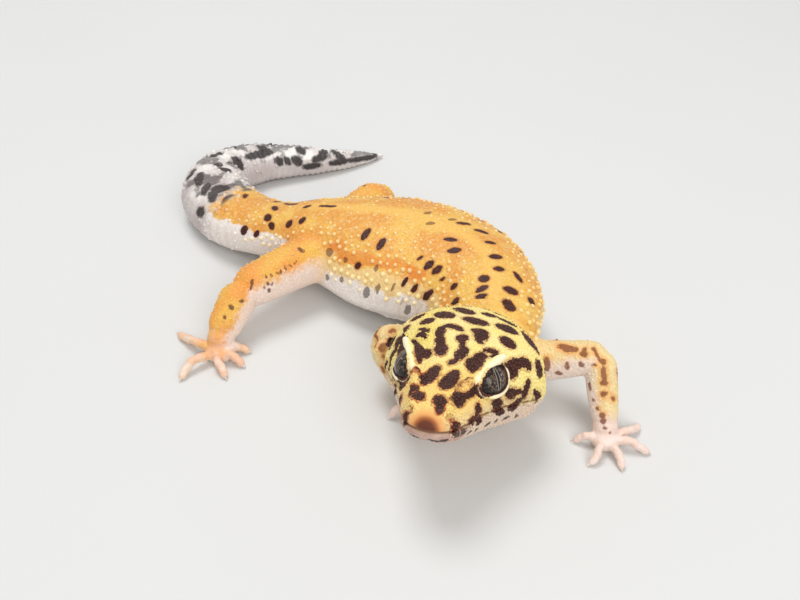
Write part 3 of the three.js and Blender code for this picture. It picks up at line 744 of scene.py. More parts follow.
def eye_zones(at):
    """The lids, what lies between them, and the fleshy patches of nostrils and front lip."""
    x, back, z = at.local.T
    blush, between = np.zeros(len(x)), np.zeros(len(x), bool)
    lid, rims = np.full(len(x), FAR_OUT), np.full(len(x), FAR_OUT)
    for side in (1, -1):
        below_nostril = on_side(NOSTRIL + [0.5, 0.2, -0.7], side)
        off = np.linalg.norm(at.local - below_nostril, axis=1)
        blush = np.maximum(blush, 0.5 * rise_between(1.3 - off, 0, 1.0))
        ridge = ease(on_side(LID_RIDGE + [0.2, 0, 0], side), np.linspace(0, 1, 12), True)
        half = ease(LID_RIDGE_HALF, np.linspace(0, 1, 12))[:, None]
        lid = np.maximum(lid, np.max([stroke_depth(at.local, 0.95 * h[0], ridge[i:i + 2])
                                      for i, h in enumerate(half[:-1])], axis=0))
        reach, rearward, up = from_opening(at.local, side)
        half = 0.27 * (1 - 0.9 * rise_between(-rearward, 2.1, 3.0))
        half = half * (1 - 0.5 * rise_between(rearward, 1.5, 3.0)) * (1 - rise_between(up, -0.2, 1.0))
        rims = np.maximum(rims, half - 2.7 * np.abs(reach - 1.06))
        lid = np.maximum(lid, rims)
        front_corner = (reach < 1.22) & (rearward < -2.5) & (np.abs(up + 0.1) < 0.9)
        # the skin in the gap between lids and eye, which is painted dark as shade
        between |= (reach < 0.97) | front_corner
    front_lip = rise_between(6.5 - back, 0, 3.5) * rise_between(0.4 - z, 0, 0.7)
    front_lip = front_lip * rise_between(z + 3.8, 0, 1.6)
    # painted shade: a brown line in the crease just outside the lower lid's rim
    lid_crease_shade = rise_between(rims, -0.45, -0.1) * rise_between(-lid, 0.0, 0.14)
    zones = {"lid": lid, "lid_crease_shade": lid_crease_shade, "blush": np.maximum(blush, front_lip * at.blend[0])}
    return zones, between


def body_masks(at):
    """The markings and colour zones of the skin at these places, each a number for every point."""
    lids, shaded_between_lids = eye_zones(at)
    zones = drawn_marks(at) | trunk_zones(at) | leg_zones(at) | face_zones(at) | lids
    zones["head"], _, zones["limb"] = at.blend
    # painted shade: the gap between lids and eye takes the spots' dark colour
    zones["dark"] = np.where(shaded_between_lids, 0.6, zones["dark"])
    bare = np.maximum(zones["nose_tip"], rise_between(1.2 - at.back, 0, 0.6))
    zones["smooth"] = np.maximum(rise_between(zones["lid"], -0.3, -0.1), bare) * (at.blend[0] > 0.4)
    return zones


# ---------------- skin: shape


def coordinates(mesh):
    """The places of a mesh's points."""
    flat = np.empty(len(mesh.vertices) * 3, np.float32)
    mesh.vertices.foreach_get("co", flat)
    return flat.reshape(-1, 3).astype(float)


def move_points(mesh, points):
    mesh.vertices.foreach_set("co", points.astype(np.float32).ravel())
    mesh.update()


def triangles(mesh):
    mesh.calc_loop_triangles()
    corners = np.empty(len(mesh.loop_triangles) * 3, np.int32)
    mesh.loop_triangles.foreach_get("vertices", corners)
    return corners.reshape(-1, 3)


class Net:
    """A mesh as plain arrays, with what smoothing and shaping need."""

    def __init__(self, mesh):
        self.points = coordinates(mesh)
        edges = np.empty(len(mesh.edges) * 2, np.int32)
        mesh.edges.foreach_get("vertices", edges)
        self.edges = edges.reshape(-1, 2)
        self.tris = triangles(mesh)
        self.valence = np.bincount(self.edges.ravel(), minlength=len(self.points))

    def spread(self, values):
        """The mean of each point's neighbours."""
        a, b = self.edges.T
        n = len(self.points)
        total = np.stack([np.bincount(a, v[b], n) + np.bincount(b, v[a], n) for v in values.T], 1)
        return total / np.maximum(self.valence, 1)[:, None]

    def normals(self):
        a, b, c = (self.points[self.tris[:, k]] for k in range(3))
        face = np.cross(b - a, c - a)
        n = len(self.points)
        total = sum(np.stack([np.bincount(self.tris[:, k], face[:, d], n) for d in range(3)], 1)
                    for k in range(3))
        return unit(total)

    def relax(self, steps):
        """Smooths the net and keeps its size: each pull inwards is followed by one outwards."""
        for _ in range(steps):
            for pull in (0.5, -0.52):
                self.points += pull * (self.spread(self.points) - self.points)

    def fill_creases(self, steps, weight):
        """Raises hollows where the weight is high, and leaves what bulges as it is."""
        for step in range(steps):
            if step % 5 == 0:
                normal = self.normals()
            pull = ((self.spread(self.points) - self.points) * normal).sum(1)
            self.points += normal * (np.maximum(pull, 0) * 0.9 * weight)[:, None]


# The swelling round each nostril, and the ridge from it back to the eye, with its half thicknesses.
NOSE_RIDGE = np.array([[2.4, 1.9, 2.5], [3.0, 4.4, 3.6], [3.9, 7.0, 4.8], [4.8, 9.4, 5.5]])
NOSE_RIDGE_HALF = [0.95, 1.05, 1.1, 0.8]


def gecko_solid(inset):
    """All the flesh of the animal as overlapping closed shells, this far inside the frame's own."""
    solid = Solid()
    around_body = np.linspace(0, 360, 120, endpoint=False)
    stations = np.linspace(0.05, LAST_STATION - 0.02, 420)
    solid.shell(on_spine(stations[:, None], around_body[None], -inset))
    backs = np.maximum(SKULL[-1, 0] * closing_steps(130) * 0.995, 0.03)
    solid.shell(on_head(backs[:, None], around_body[None], -0.7 * inset))
    for side in (1, -1):
        solid.shell(place_head(ball_rings(on_side(EYE_AT, side), EYE_RADIUS + LID_SKIN)))
        solid.shell(tube_rings(place_head(on_side(LID_RIDGE, side)), np.array(LID_RIDGE_HALF) - 0.02))
        solid.shell(tube_rings(place_head(on_side(NOSE_RIDGE, side)), NOSE_RIDGE_HALF))
        rim, height = lid_rim(side, EYE_RADIUS + 0.25)
        line = np.concatenate([rim, rim[:3]])  # a little more than once round
        thick = 0.36 + 0.1 * np.maximum(height, 0)
        solid.shell(rings_along(place_head(line), np.concatenate([thick, thick[:3]]), 12))
    for name, leg in LEGS.items():
        root, knee, ankle = leg["joints"]
        solid.shell(bone_rings(root, knee, np.array(leg["upper"]) - 0.4 * inset, [2, 1.5]))
        solid.shell(bone_rings(knee, ankle, np.array(leg["lower"]) - 0.7 * inset, [1.2, 1.4]))
        wide, thick = leg["palm"]
        solid.shell(bone_rings(ankle, leg["at"], ANKLE_HALF * wide - 0.15, ANKLE_PAST))
        solid.shell(ball_rings(leg["at"], [wide - 0.1, wide - 0.1, thick - 0.05]))
        for (knuckle, tip), bow in zip(leg["toes"], TOE_BOWS[name]):
            solid.shell(tube_rings(toe_path(leg, knuckle, tip, bow), TOE_HALF * wide / HIND["palm"][0]))
    return solid


def held(mesh):
    """A passing object that holds a mesh while its modifiers work."""
    holder = bpy.data.objects.new("holder", mesh)
    bpy.context.scene.collection.objects.link(holder)
    return holder


def worked_out(holder):
    """What the modifiers of a passing object make of its mesh, as a plain mesh."""
    depsgraph = bpy.context.evaluated_depsgraph_get()
    made = bpy.data.meshes.new_from_object(holder.evaluated_get(depsgraph), depsgraph=depsgraph)
    bpy.data.objects.remove(holder)
    return made


def remeshed(mesh, cell):
    """One even skin round overlapping shells."""
    holder = held(mesh)
    modifier = holder.modifiers.new("one skin", "REMESH")
    modifier.mode = "VOXEL"
    modifier.voxel_size = cell
    return worked_out(holder)


def thinned(mesh, share, keep):
    """The mesh with fewer faces, and most of them left where keep is near 1."""
    holder = held(mesh)
    group = holder.vertex_groups.new(name="fine")
    levels = np.round(np.clip(1 - keep, 0, 1) * 10).astype(int)
    for level in range(1, 11):
        found = np.nonzero(levels == level)[0]
        if len(found):
            group.add(found.tolist(), level / 10, "REPLACE")
    modifier = holder.modifiers.new("fewer faces", "DECIMATE")
    modifier.ratio = share
    modifier.vertex_group = "fine"
    modifier.vertex_group_factor = 6.0
    return worked_out(holder)


def open_lids(net):
    """Cuts each eye's opening into the skin: its edge is made clean, and what lies inside goes deep."""
    for side in (1, -1):
        centre, along, gaze, across = lid_axes(side)
        local = (net.points - SNOUT) @ HEAD_TURN
        off = local - centre
        x, y = off @ along, off @ across + LID_DROP
        in_front = (off @ gaze > 0) & (np.linalg.norm(off, axis=1) < 7)
        reach = np.where(in_front, slit_reach(x, y, 0.12), 9.0)
        a, b = net.edges.T
        crossing = (reach[a] < 1) != (reach[b] < 1)
        a, b = a[crossing], b[crossing]
        nearer = np.unique(np.where(np.abs(reach[a] - 1) < np.abs(reach[b] - 1), a, b))
        nearer = nearer[reach[nearer] < 3]
        move = (x[nearer] / reach[nearer] - x[nearer])[:, None] * along
        move = move + (y[nearer] / reach[nearer] - y[nearer])[:, None] * across
        local[nearer] += move
        inside = reach < 1
        inside[nearer] = False
        local[inside] = centre + unit(local[inside] - centre) * (EYE_RADIUS - 0.9)
        net.points = place_head(local)


def fill_joints(net):
    """Rounds off the steps where head, trunk and limbs meet, and the bends of the legs."""
    at = Places(net.points)
    first, second = np.sort(at.gaps, axis=0)[:2]
    weight = rise_between(2.2 - (second - first), 0, 1.6)
    weight[at.back < 21] *= rise_between(at.gaps[0][at.back < 21], 0.8, 2.0)
    bends = hill(at.reach, 1, 0.16) + hill(at.reach, 2, 0.1)
    weight = np.maximum(weight, 0.8 * np.minimum(bends, 1) * (at.part == 2))
    weight[(at.part == 2) & (at.reach > 2.4)] = 0.06
    net.fill_creases(40, weight)


class Chisel:
    """Presses shapes into a skin along the directions that it had at first."""

    def __init__(self, net):
        self.at, self.normal, self.p = Places(net.points), net.normals(), net.points

    def push(self, amount):
        self.p += self.normal * amount[:, None]

    def face(self):
        at, (x, back, z) = self.at, self.at.local.T
        on_head = at.part == 0
        # The mouth: a narrow groove, with the lips rolled a little outwards along it.
        mouth = z - mouth_height(back)
        along_lips = rise_between(MOUTH_CORNER[0] + 0.4 - back, 0, 1.5) * on_head * (np.abs(z) < 4)
        groove = hill(mouth, 0, 0.24) * -0.34 + hill(np.abs(mouth), 0.9, 0.55) * 0.16
        self.push(groove * along_lips)
        # The fold behind the corner of the mouth.
        corner = np.hypot(back - MOUTH_CORNER[0], (z - MOUTH_CORNER[1]) * 0.55)
        self.push(0.35 * hill(corner, 1.6, 0.7) * on_head * (z < 2.5) * (z > -6))
        for side in (1, -1):
            nostril = np.linalg.norm(at.local - on_side(NOSTRIL, side), axis=1)
            self.push(-0.75 * hill(nostril, 0, 0.42))
            self.push(0.22 * hill(nostril, 0.95, 0.4) * on_head)
            ear = np.hypot((back - EAR[0]) / EAR_HALF[0], (z - EAR[1]) / EAR_HALF[1])
            ear = np.where((np.sign(x) == side) & (np.abs(x) > 6), ear, 9)
            self.push(-1.3 * hill(ear, 0, 1) + 0.2 * hill(ear, 1.6, 0.5))
            # A bead along the lids' edge, and the furrow outside it.
            reach, rearward, up = from_opening(at.local, side)
            self.push(0.26 * hill(reach, 1.1, 0.09) * (up < 1.5) * (rearward > -3.0))
            self.push(-0.16 * hill(reach, 1.34, 0.1) * (up < 1.0))
        # The cheeks, which the turn of the head makes uneven, and the hollow between the eyes.
        cheek = hill(back, 19, 5) * (z < 7) * at.share[0]
        self.push(cheek * (-0.75 * rise_between(-x, 5, 11) + 0.2 * rise_between(x, 5, 11)))
        hollow = np.exp(-((back - 8.5) / 4.5) ** 2 - (x / 2.0) ** 2) * (z > 0) * at.share[0]
        self.push(-0.45 * hollow)

    def folds(self):
        at, p = self.at, self.p
        head, body, legs = at.share
        # Where the lifted head crumples the skin of the nape, and across the throat.
        nape = hill(at.station, 1.3, 0.7) * rise_between(p[:, 2], 8, 13) * (1 - legs)
        wave = hash_noise(p, 4.0, 3) * 2.4
        self.push(nape * 0.34 * np.sin(at.station * 17 + wave * 3))
        throat = hill(at.station, 0.9, 0.5) * rise_between(9 - p[:, 2], 0, 4) * (1 - legs)
        self.push(throat * 0.16 * np.sin(at.station * 17 + wave))
        # The flank: a soft fold along each side and shallow creases down it.
        down = at.from_back()
        flank = body * rise_between(at.station, 2.2, 3.6) * rise_between(9.0 - at.station, 0, 1.2)
        self.push(flank * 0.32 * hill(down, 97, 9))
        self.push(flank * -0.3 * hill(down, 113, 8))
        creases = hash_noise(np.stack([at.station * 3.1, down * 0.03, p[:, 2] * 0.04], 1), 0.35, 5) - 0.5
        self.push(flank * 0.62 * creases * rise_between(down, 58, 80) * rise_between(8.0 - at.station, 0, 3))
        lumps = hash_noise(p, 5.5, 8) + 0.6 * hash_noise(p, 2.4, 9) - 0.8
        self.push(lumps * 0.26 * (body + 0.5 * legs) * (1 - head))

    def rings(self):
        """Shallow rings round the tail, one to each whorl of tubercles, and wrinkles over the toes."""
        at = self.at
        tail = rise_between(at.station, 10.6, 11.8) * at.share[1]
        ring = np.cos(2 * np.pi * whorl_of(at.station))
        self.push(tail * 0.13 * ring * rise_between(18.8 - at.station, 0, 1.5))
        toes = rise_between(at.reach, 3.1, 3.4) * at.share[2]
        self.push(toes * 0.05 * np.sin(at.reach * 26))


def shape_skin(net):
    """Smooths the even skin and presses its features into it."""
    net.relax(6)
    fill_joints(net)
    net.relax(6)
    chisel = Chisel(net)
    chisel.face()
    chisel.folds()
    chisel.rings()
    net.relax(1)


def whorl_of(station):
    """Counts the rings of the tail, which are about 2.6 mm apart and closer at the tip."""
    table = np.linspace(0, LAST_STATION, 400)
    centre = spine_frame(table)[0]
    length = np.concatenate([[0], np.cumsum(np.linalg.norm(np.diff(centre, axis=0), axis=1))])
    return np.interp(station, table, length) / np.interp(station, [10, 19], [2.5, 1.9])


def keep_share(at):
    """Where the skin needs its small faces: all of the head, and the feet."""
    to_eye = np.min([np.linalg.norm(at.local - on_side(EYE_AT, side), axis=1) for side in (1, -1)], axis=0)
    lid = rise_between(6.5 - to_eye, 0, 1.5)
    head = at.share[0] * rise_between(26 - at.back, 0, 3)
    face = head * rise_between(13 - at.back, -6, 4)
    feet = rise_between(at.reach, 1.9, 2.3) * at.share[2]
    drawn = [(TRUNK_MARKS + TAIL_MARKS + FAINT_MARKS, on_spine)]
    drawn += [(marks, on_leg(LEGS[name])) for name, marks in LEG_MARKS.items()]
    marks = np.max([marks_depth(at.points, marks, place) for marks, place in drawn], axis=0)
    marks = rise_between(marks, -0.7, -0.4) * (at.part > 0)
    return np.clip(np.maximum.reduce([lid, 0.5 * head, 0.75 * face, 0.5 * feet, 0.6 * marks]), 0, 1)


# ---------------- nodes as Python expressions


def linear(code):
    """A colour written as #rrggbb, in the linear values that Blender keeps."""
    values = [int(code[i:i + 2], 16) / 255 for i in (1, 3, 5)]
    return [v / 12.92 if v <= 0.04045 else ((v + 0.055) / 1.055) ** 2.4 for v in values]


def maths(operation, turned_round=False):
    """A method that adds one Math node to the wire and to what it is used with."""

    def method(self, *others):
        values = (*others, self) if turned_round else (self, *others)
        return self.graph.node("ShaderNodeMath", {"operation": operation}, dict(enumerate(values)))

    return method


class Wire:
    """A node's output that can be used in a Python expression, which adds the Math nodes it needs."""

    def __init__(self, graph, socket):
        self.graph, self.socket = graph, socket

    __add__ = __radd__ = maths("ADD")
    __mul__ = __rmul__ = maths("MULTIPLY")
    __sub__, __rsub__ = maths("SUBTRACT"), maths("SUBTRACT", True)
    __truediv__, __rtruediv__ = maths("DIVIDE"), maths("DIVIDE", True)
    __pow__, __abs__ = maths("POWER"), maths("ABSOLUTE")
    most = maths("MAXIMUM")

    def rise(self, low, high):
        """0 below low and 1 above high, smooth between."""
        values = {0: self, 1: low, 2: high}
        return self.graph.node("ShaderNodeMapRange", {"interpolation_type": "SMOOTHSTEP"}, values)


class Graph:
    """A node tree, and the one way in which a node is added to it."""

    def __init__(self, tree):
        self.tree = tree

    def node(self, kind, settings=None, values=None, out=0):
        """Adds a node with these settings, and values or links for its inputs, and gives one output."""
        made = self.tree.nodes.new(kind)
        for key, value in (settings or {}).items():
            setattr(made, key, value)
        for key, value in (values or {}).items():
            if isinstance(value, Wire):
                self.tree.links.new(value.socket, made.inputs[key])
            else:
                made.inputs[key].default_value = value
        return Wire(self, made.outputs[out] if len(made.outputs) else None)

    def axis(self, vector, name):
        return self.node("ShaderNodeSeparateXYZ", {}, {0: vector}, name)


class Paint(Graph):
    """A material's node tree, with the textures and mixes that the animal's finishes share."""

    def __init__(self, name):
        self.material = bpy.data.materials.new(name)
        self.material.use_nodes = True
        super().__init__(self.material.node_tree)
        self.tree.nodes.clear()
        self.place = self.node("ShaderNodeTexCoord", out="Object")

    def number(self, name):
        """A number that the mesh keeps for each of its points."""
        return self.node("ShaderNodeAttribute", {"attribute_name": name}, out="Fac")

    def noise(self, size, detail=2.0, roughness=0.5):
        """Cloudy noise from about 0 to 1, with features of a size in mm."""
        values = {"Vector": self.place, "Scale": 1 / (size * MM), "Detail": detail, "Roughness": roughness}
        return self.node("ShaderNodeTexNoise", {}, values)

    def cells(self, size):
        """The distance to the middle of round cells of a size in mm, in parts of that size."""
        return self.node("ShaderNodeTexVoronoi", {}, {"Vector": self.place, "Scale": 1 / (size * MM)})

    def mix(self, share, first, second):
        first, second = (v if isinstance(v, Wire) else (*v, 1) for v in (first, second))
        return self.node("ShaderNodeMix", {"data_type": "RGBA"}, {0: share, 6: first, 7: second}, 2)

    def coats(self, colour, *coats):
        """Lays coats over a colour, in order: each is its share and its own colour."""
        for share, over in coats:
            colour = self.mix(share, colour, over)
        return colour

    def bump(self, height, depth, strength, under=None):
        """Relief from a height of 0 to 1, which stands for a depth in mm."""
        values = {"Height": height, "Distance": depth * MM, "Strength": strength}
        if under:
            values["Normal"] = under
        return self.node("ShaderNodeBump", {}, values)

    def finish(self, colour, roughness, normal=None, **fixed):
        values = {"Base Color": colour, "Roughness": roughness, **fixed}
        if normal:
            values["Normal"] = normal
        shader = self.node("ShaderNodeBsdfPrincipled", {}, values)
        self.node("ShaderNodeOutputMaterial", {}, {"Surface": shader})
        return self.material


# ---------------- the animal's colours


class Hide(Paint):
    """The markings and colours of skin and scales alike, from the numbers that the skin keeps."""

    def __init__(self, name):
        super().__init__(name)
        look = bpy.context.scene.gecko_colours
        self.tone = {tone: tuple(getattr(look, tone)) for tone in GeckoColours.__annotations__}
        self.zone = {zone: self.number(zone) for zone in STATE["masks"]}
        self.broad, self.middle, self.fine = self.noise(7.0), self.noise(2.2), self.noise(0.7)
        self.ragged = (self.middle - 0.5) * 0.6 + (self.fine - 0.5) * 0.8
        colour = self.coats(
            self.trunk(),
            (self.zone["limb"].rise(0.15, 0.85), self.leg()),
            (self.zone["head"].rise(0.25, 0.75), self.face()))
        self.colour = self.marked(colour)

    def edge(self, name, low, high, rough=0.5):
        """A zone from 0 to 1, whose edge lies between low and high and is broken up by noise."""
        return (self.zone[name] + (self.middle - 0.5) * rough + (self.fine - 0.5) * rough).rise(low, high)

    def trunk(self):
        tone, zone, broad, middle, fine = self.tone, self.zone, self.broad, self.middle, self.fine
        rusty = (zone["rust"] + (middle - 0.5) * 1.4 + (fine - 0.5) * 0.5).rise(0.35, 0.95)
        tail = self.coats(
            tone["tail_white"],
            (broad.rise(0.35, 0.7), tone["tail_lilac"]),
            (self.edge("white", 0.1, 0.9) * 0.7, tone["tail_lilac"]))
        return self.coats(
            tone["back_orange"],
            (broad.rise(0.38, 0.62), tone["back_gold"]),
            (fine.rise(0.4, 0.75) * 0.35, tone["tubercle"]),
            (rusty * 0.75, tone["rust"]),
            (zone["stripe"] * 0.9, tone["stripe"]),
            ((zone["neck"] + (fine - 0.5) * 0.4).rise(0.2, 0.9) * 0.2, tone["crown"]),
            (self.edge("cream", 0.3, 0.75), tone["flank"]),
            (self.edge("white", 0.25, 0.8, 0.4), tone["belly"]),
            (self.edge("tail", 0.15, 0.85, 0.9), tail))

    def leg(self):
        tone, zone, broad, middle = self.tone, self.zone, self.broad, self.middle
        warm = (zone["leg_dark"] + (middle - 0.5) * 1.2).rise(-1.0, -0.1)
        arm = self.mix(warm * 0.6 + broad.rise(0.5, 0.7) * 0.2, tone["arm"], tone["leg_orange"])
        return self.coats(
            tone["leg_orange"],
            (broad.rise(0.35, 0.65), tone["back_gold"]),
            (zone["fore"], arm),
            (self.edge("under", 0.1, 0.95, 0.7) * 0.9, tone["leg_pale"]),
            (self.edge("foot", 0.1, 0.9, 0.5) * (zone["fore"] * 0.4 + 0.6), tone["foot"]),
            (self.edge("foot", 0.7, 1.0, 0.3) * middle.rise(0.4, 0.65) * 0.5, tone["belly"]),
            ((zone["leg_dark"] + self.ragged * 0.9).rise(-0.2, 0.16) * 0.85,
             self.mix(zone["fore"], tone["spot_light"], tone["leg_spot"])))

    def face(self):
        tone, zone, middle = self.tone, self.zone, self.middle
        return self.coats(
            tone["crown"],
            (self.broad.rise(0.3, 0.7), tone["crown_light"]),
            ((zone["snout"] * 0.9 + (middle - 0.5) * 0.6).rise(0.2, 0.95) * 0.85, tone["snout"]),
            (zone["lip"] * 0.8, tone["lip"]),
            (zone["jaw"].rise(0.35, 0.75), tone["chin"]),
            (zone["nose_tip"] * 0.85, tone["snout_tip"]),
            (zone["nose_dark"].rise(0.0, 0.5) * 0.85, tone["snout_deep"]),
            (zone["nose_dark"].rise(0.25, 0.9) * 0.95, tone["brown"]),
            (zone["blush"] * (middle.rise(0.35, 0.65) * 0.4 + 0.45), tone["blush"]))

    def marked(self, colour):
        """A ground colour with the spots, their rusty edges, the tail's marbling, the lids and the lips."""
        tone, zone, broad, middle, fine = self.tone, self.zone, self.broad, self.middle, self.fine
        near_spots = broad.rise(0.35, 0.65) * 0.35 + zone["snout"] * 0.4 + 0.2
        halo = (zone["dark"] + self.ragged * 0.9).rise(-0.55, -0.05) * near_spots * 1.25
        faint = (zone["faint"] + self.ragged * 0.7).rise(-0.15, 0.1) * (zone["jaw"] * 0.2 + 0.7)
        patches = self.noise(4.4, 1.5) + (fine - 0.5) * 0.12 + (middle - 0.5) * 0.12
        marbling = (zone["tail_dark"] + self.ragged * 0.9).rise(-0.95, -0.1) * 0.95
        marbling = marbling.most(patches.rise(0.47, 0.59) * (1 - zone["white"]) * 0.7)
        spots = (zone["dark"] + self.ragged * 0.6).rise(-0.1, 0.03)
        return self.coats(
            colour,
            (halo * (1 - zone["jaw"]), tone["halo"]),
            (faint, self.mix(zone["white"].most(zone["jaw"]), tone["brown"], tone["grey"])),
            (marbling * zone["tail"].rise(0.1, 0.4), tone["grey"]),
            # the paler grains in the spots are partly the spots' own paler tone and partly painted highlight
            (spots * (1 - zone["lid"].rise(-0.1, 0.1)),
             self.mix(fine.rise(0.45, 0.85), tone["spot"], tone["spot_light"])),
            # painted shade in the crease along the lower lids
            (zone["lid_crease_shade"] * 0.55, tone["brown"]),
            (zone["lid"].rise(-0.1, 0.05), tone["lid"]),
            (zone["lips"].rise(-0.12, 0.12) * 0.8, tone["brown"]))


SHEEN = 0.28  # how much light skin and scales mirror; 0.5 is glossy plastic


def skin_material():
    """Bare skin: tiny round grains, except on lids and nose, with a slight shine."""
    hide = Hide("gecko_skin")
    grainy = 1 - hide.zone["smooth"]
    cells = hide.cells(0.5)
    # painted shade: the gaps between the grains are browned in the colour below
    gaps = cells.rise(0.25, 0.62) * grainy * (1 - hide.zone["foot"] * 0.7)
    colour = hide.mix(gaps * 0.12, hide.colour, hide.tone["brown"])
    relief = hide.bump((1 - cells) * grainy, 0.16, 0.6)
    relief = hide.bump(hide.fine, 0.05, 0.4, relief)
    return hide.finish(colour, hide.middle * 0.15 + 0.38, relief, **{"Specular IOR Level": SHEEN})


def scale_material(name, top, pale_top_and_highlight_share, shine):
    """Raised scales: the colour of the skin round them, browner at the base and paler on top."""
    hide = Hide(name)
    tip, zone, tone = hide.number("tip"), hide.zone, hide.tone
    # the paler tops are partly the scales' own pale colour and partly painted highlight
    bright = tip.rise(0.1, 0.7) * (zone["cream"] * 0.3 + 0.7) * pale_top_and_highlight_share
    dark = zone["dark"].rise(-0.1, 0.2).most(zone["tail_dark"].rise(-0.5, 0.2))
    dark = dark.most(zone["faint"].rise(-0.2, 0.1) * 0.8).most(zone["leg_dark"].rise(-0.3, 0.1))
    spots = (zone["dark"] + (hide.middle - 0.5) * 0.3).rise(-0.05, 0.15)
    colour = hide.coats(
        hide.colour,
        # painted shade: the base of each scale is browned
        ((1 - tip).rise(0.55, 1.0) * 0.3, tone["brown"]),
        (bright * (1 - dark * 0.85), tone[top]),
        # painted highlight: the tips of scales inside dark spots are lightened
        (tip.rise(0.7, 1.0) * spots * 0.6, tone["spot_tip"]))
    relief = hide.bump(hide.fine, 0.05, 0.4)
    return hide.finish(colour, hide.middle * 0.2 + shine, relief, **{"Specular IOR Level": SHEEN})


# ---------------- scales

PATCH = 0.003  # how wide one scale's patch is on the map that its colours are kept on


def coat_tree():
    """Spreads domed or pointed scales over a skin. The skin's own numbers say where and how large."""
    tree = bpy.data.node_groups.new("scale coat", "GeometryNodeTree")
    sockets = [("Geometry", "Geometry"), ("Spacing", "Float"), ("Seed", "Int"), ("Size", "Float"),
               ("Height", "Float"), ("Roundness", "Float"), ("Sides", "Int"), ("Rings", "Int"),
               ("Lean", "Float"), ("Material", "Material")]
    for name, kind in sockets:
        tree.interface.new_socket(name, in_out="INPUT", socket_type="NodeSocket" + kind)
    tree.interface.new_socket("Geometry", in_out="OUTPUT", socket_type="NodeSocketGeometry")
    graph = Graph(tree)
    entry = tree.nodes.new("NodeGroupInput")
    given = {name: Wire(graph, entry.outputs[name]) for name, _ in sockets}

    def named(name, kind="FLOAT"):
        return graph.node("GeometryNodeInputNamedAttribute", {"data_type": kind}, {"Name": name})

    def store(geometry, name, value, kind, domain):
        settings = {"data_type": kind, "domain": domain}
        return graph.node("GeometryNodeStoreNamedAttribute", settings,
                          {"Geometry": geometry, "Name": name, "Value": value})

    # One scale: a cone whose side is bent into a dome or a blunt point.
    cone = graph.node("GeometryNodeMeshCone", {"fill_type": "NGON"},
                      {"Vertices": given["Sides"], "Side Segments": given["Rings"], "Radius Top": 0.0,
                       "Radius Bottom": 1.0, "Depth": 1.0})
    place = graph.node("GeometryNodeInputPosition")
    x, y, z = (graph.axis(place, name) for name in "XYZ")
    cone = store(cone, "tip", z, "FLOAT", "POINT")
    patch = graph.node("ShaderNodeCombineXYZ", {}, {0: x * (PATCH / 2), 1: y * (PATCH / 2)})
    cone = store(cone, "patch", patch, "FLOAT_VECTOR", "POINT")
    height = 1 - (1 - z).most(0.0) ** given["Roundness"]
    bent = graph.node("ShaderNodeCombineXYZ", {}, {0: x + height * given["Lean"], 1: y, 2: height - 0.35})
    scale = graph.node("GeometryNodeSetPosition", {}, {"Geometry": cone, "Position": bent})

    spread = graph.node("GeometryNodeDistributePointsOnFaces", {"distribute_method": "POISSON"},
                        {"Mesh": given["Geometry"], "Distance Min": given["Spacing"],
                         "Density Max": 3.0 / (given["Spacing"] * given["Spacing"]),
                         "Density Factor": named("cover"), "Seed": given["Seed"]})
    normal = Wire(graph, spread.socket.node.outputs["Normal"])
    upright = graph.node("FunctionNodeAlignRotationToVector", {"axis": "Z"}, {"Vector": normal})
    turned = graph.node("FunctionNodeAlignRotationToVector", {"axis": "X", "pivot_axis": "Z"},
                        {"Rotation": upright, "Vector": named("heading", "FLOAT_VECTOR")})
    chance = graph.node("FunctionNodeRandomValue", {"data_type": "FLOAT"},
                        {2: 0.82, 3: 1.15, "Seed": given["Seed"]}, 1)
    size = given["Size"] * named("grain") * chance
    tall = given["Height"] * named("grain") * chance
    reach = graph.node("ShaderNodeCombineXYZ", {}, {0: size, 1: size, 2: tall})
    many = graph.node("GeometryNodeInstanceOnPoints", {},
                      {"Points": spread, "Instance": scale, "Rotation": turned, "Scale": reach})
    real = graph.node("GeometryNodeRealizeInstances", {}, {"Geometry": many})
    root, part = named("unwrap", "FLOAT_VECTOR"), named("patch", "FLOAT_VECTOR")
    spot = graph.node("ShaderNodeVectorMath", {"operation": "ADD"}, {0: root, 1: part})
    real = store(real, "OFBake", spot, "FLOAT2", "CORNER")
    real = graph.node("GeometryNodeSetShadeSmooth", {}, {"Geometry": real})
    real = graph.node("GeometryNodeSetMaterial", {}, {"Geometry": real, "Material": given["Material"]})
    graph.node("NodeGroupOutput", {}, {"Geometry": real})
    return tree


def set_number(mesh, name, values, kind="FLOAT"):
    values = np.ascontiguousarray(values, np.float32)
    layer = mesh.attributes.get(name) or mesh.attributes.new(name, kind, "POINT")
    layer.data.foreach_set("vector" if kind == "FLOAT_VECTOR" else "value", values.ravel())


def to_metres(points):
    return (points + TO_FOOTPRINT) * MM


def keep_in_box(mesh):
    """Moves the points that lie outside the box of the frame's own solids onto it."""
    low, high = (np.array(corner, np.float32) for corner in CAD_BOX)
    move_points(mesh, np.clip(coordinates(mesh), low + 1e-6, high - 1e-6))


def add_piece(name, mesh, replaced=()):
    """Names a finished mesh as a piece that rides on the body."""
    keep_in_box(mesh)
    mesh.name = name
    piece = bpy.data.objects.new(name, mesh)
    bpy.context.scene.collection.objects.link(piece)
    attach(piece, "root")
    if replaced:
        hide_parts(*replaced)


def unwrap_of(at, part):
    """Where each point lies on the flat map of one coat, from the body's own length and girth."""
    if part == "head":
        off = at.local - [0, 14, 0.5]
        u = (np.degrees(np.arctan2(off[:, 2], off[:, 0])) + 90) % 360 / 360
        v = np.arccos(np.clip(-off[:, 1] / np.linalg.norm(off, axis=1), -1, 1)) / np.pi
    elif part == "legs":
        u = (at.leg + (at.leg_angle + 90) % 360 / 360) / len(LEGS)
        v = at.reach / 4
    else:
        u, v = (at.spine_angle + 90) % 360 / 360, at.station / LAST_STATION
    return np.stack([0.01 + 0.98 * u, 0.01 + 0.98 * v, np.zeros(len(u))], 1)


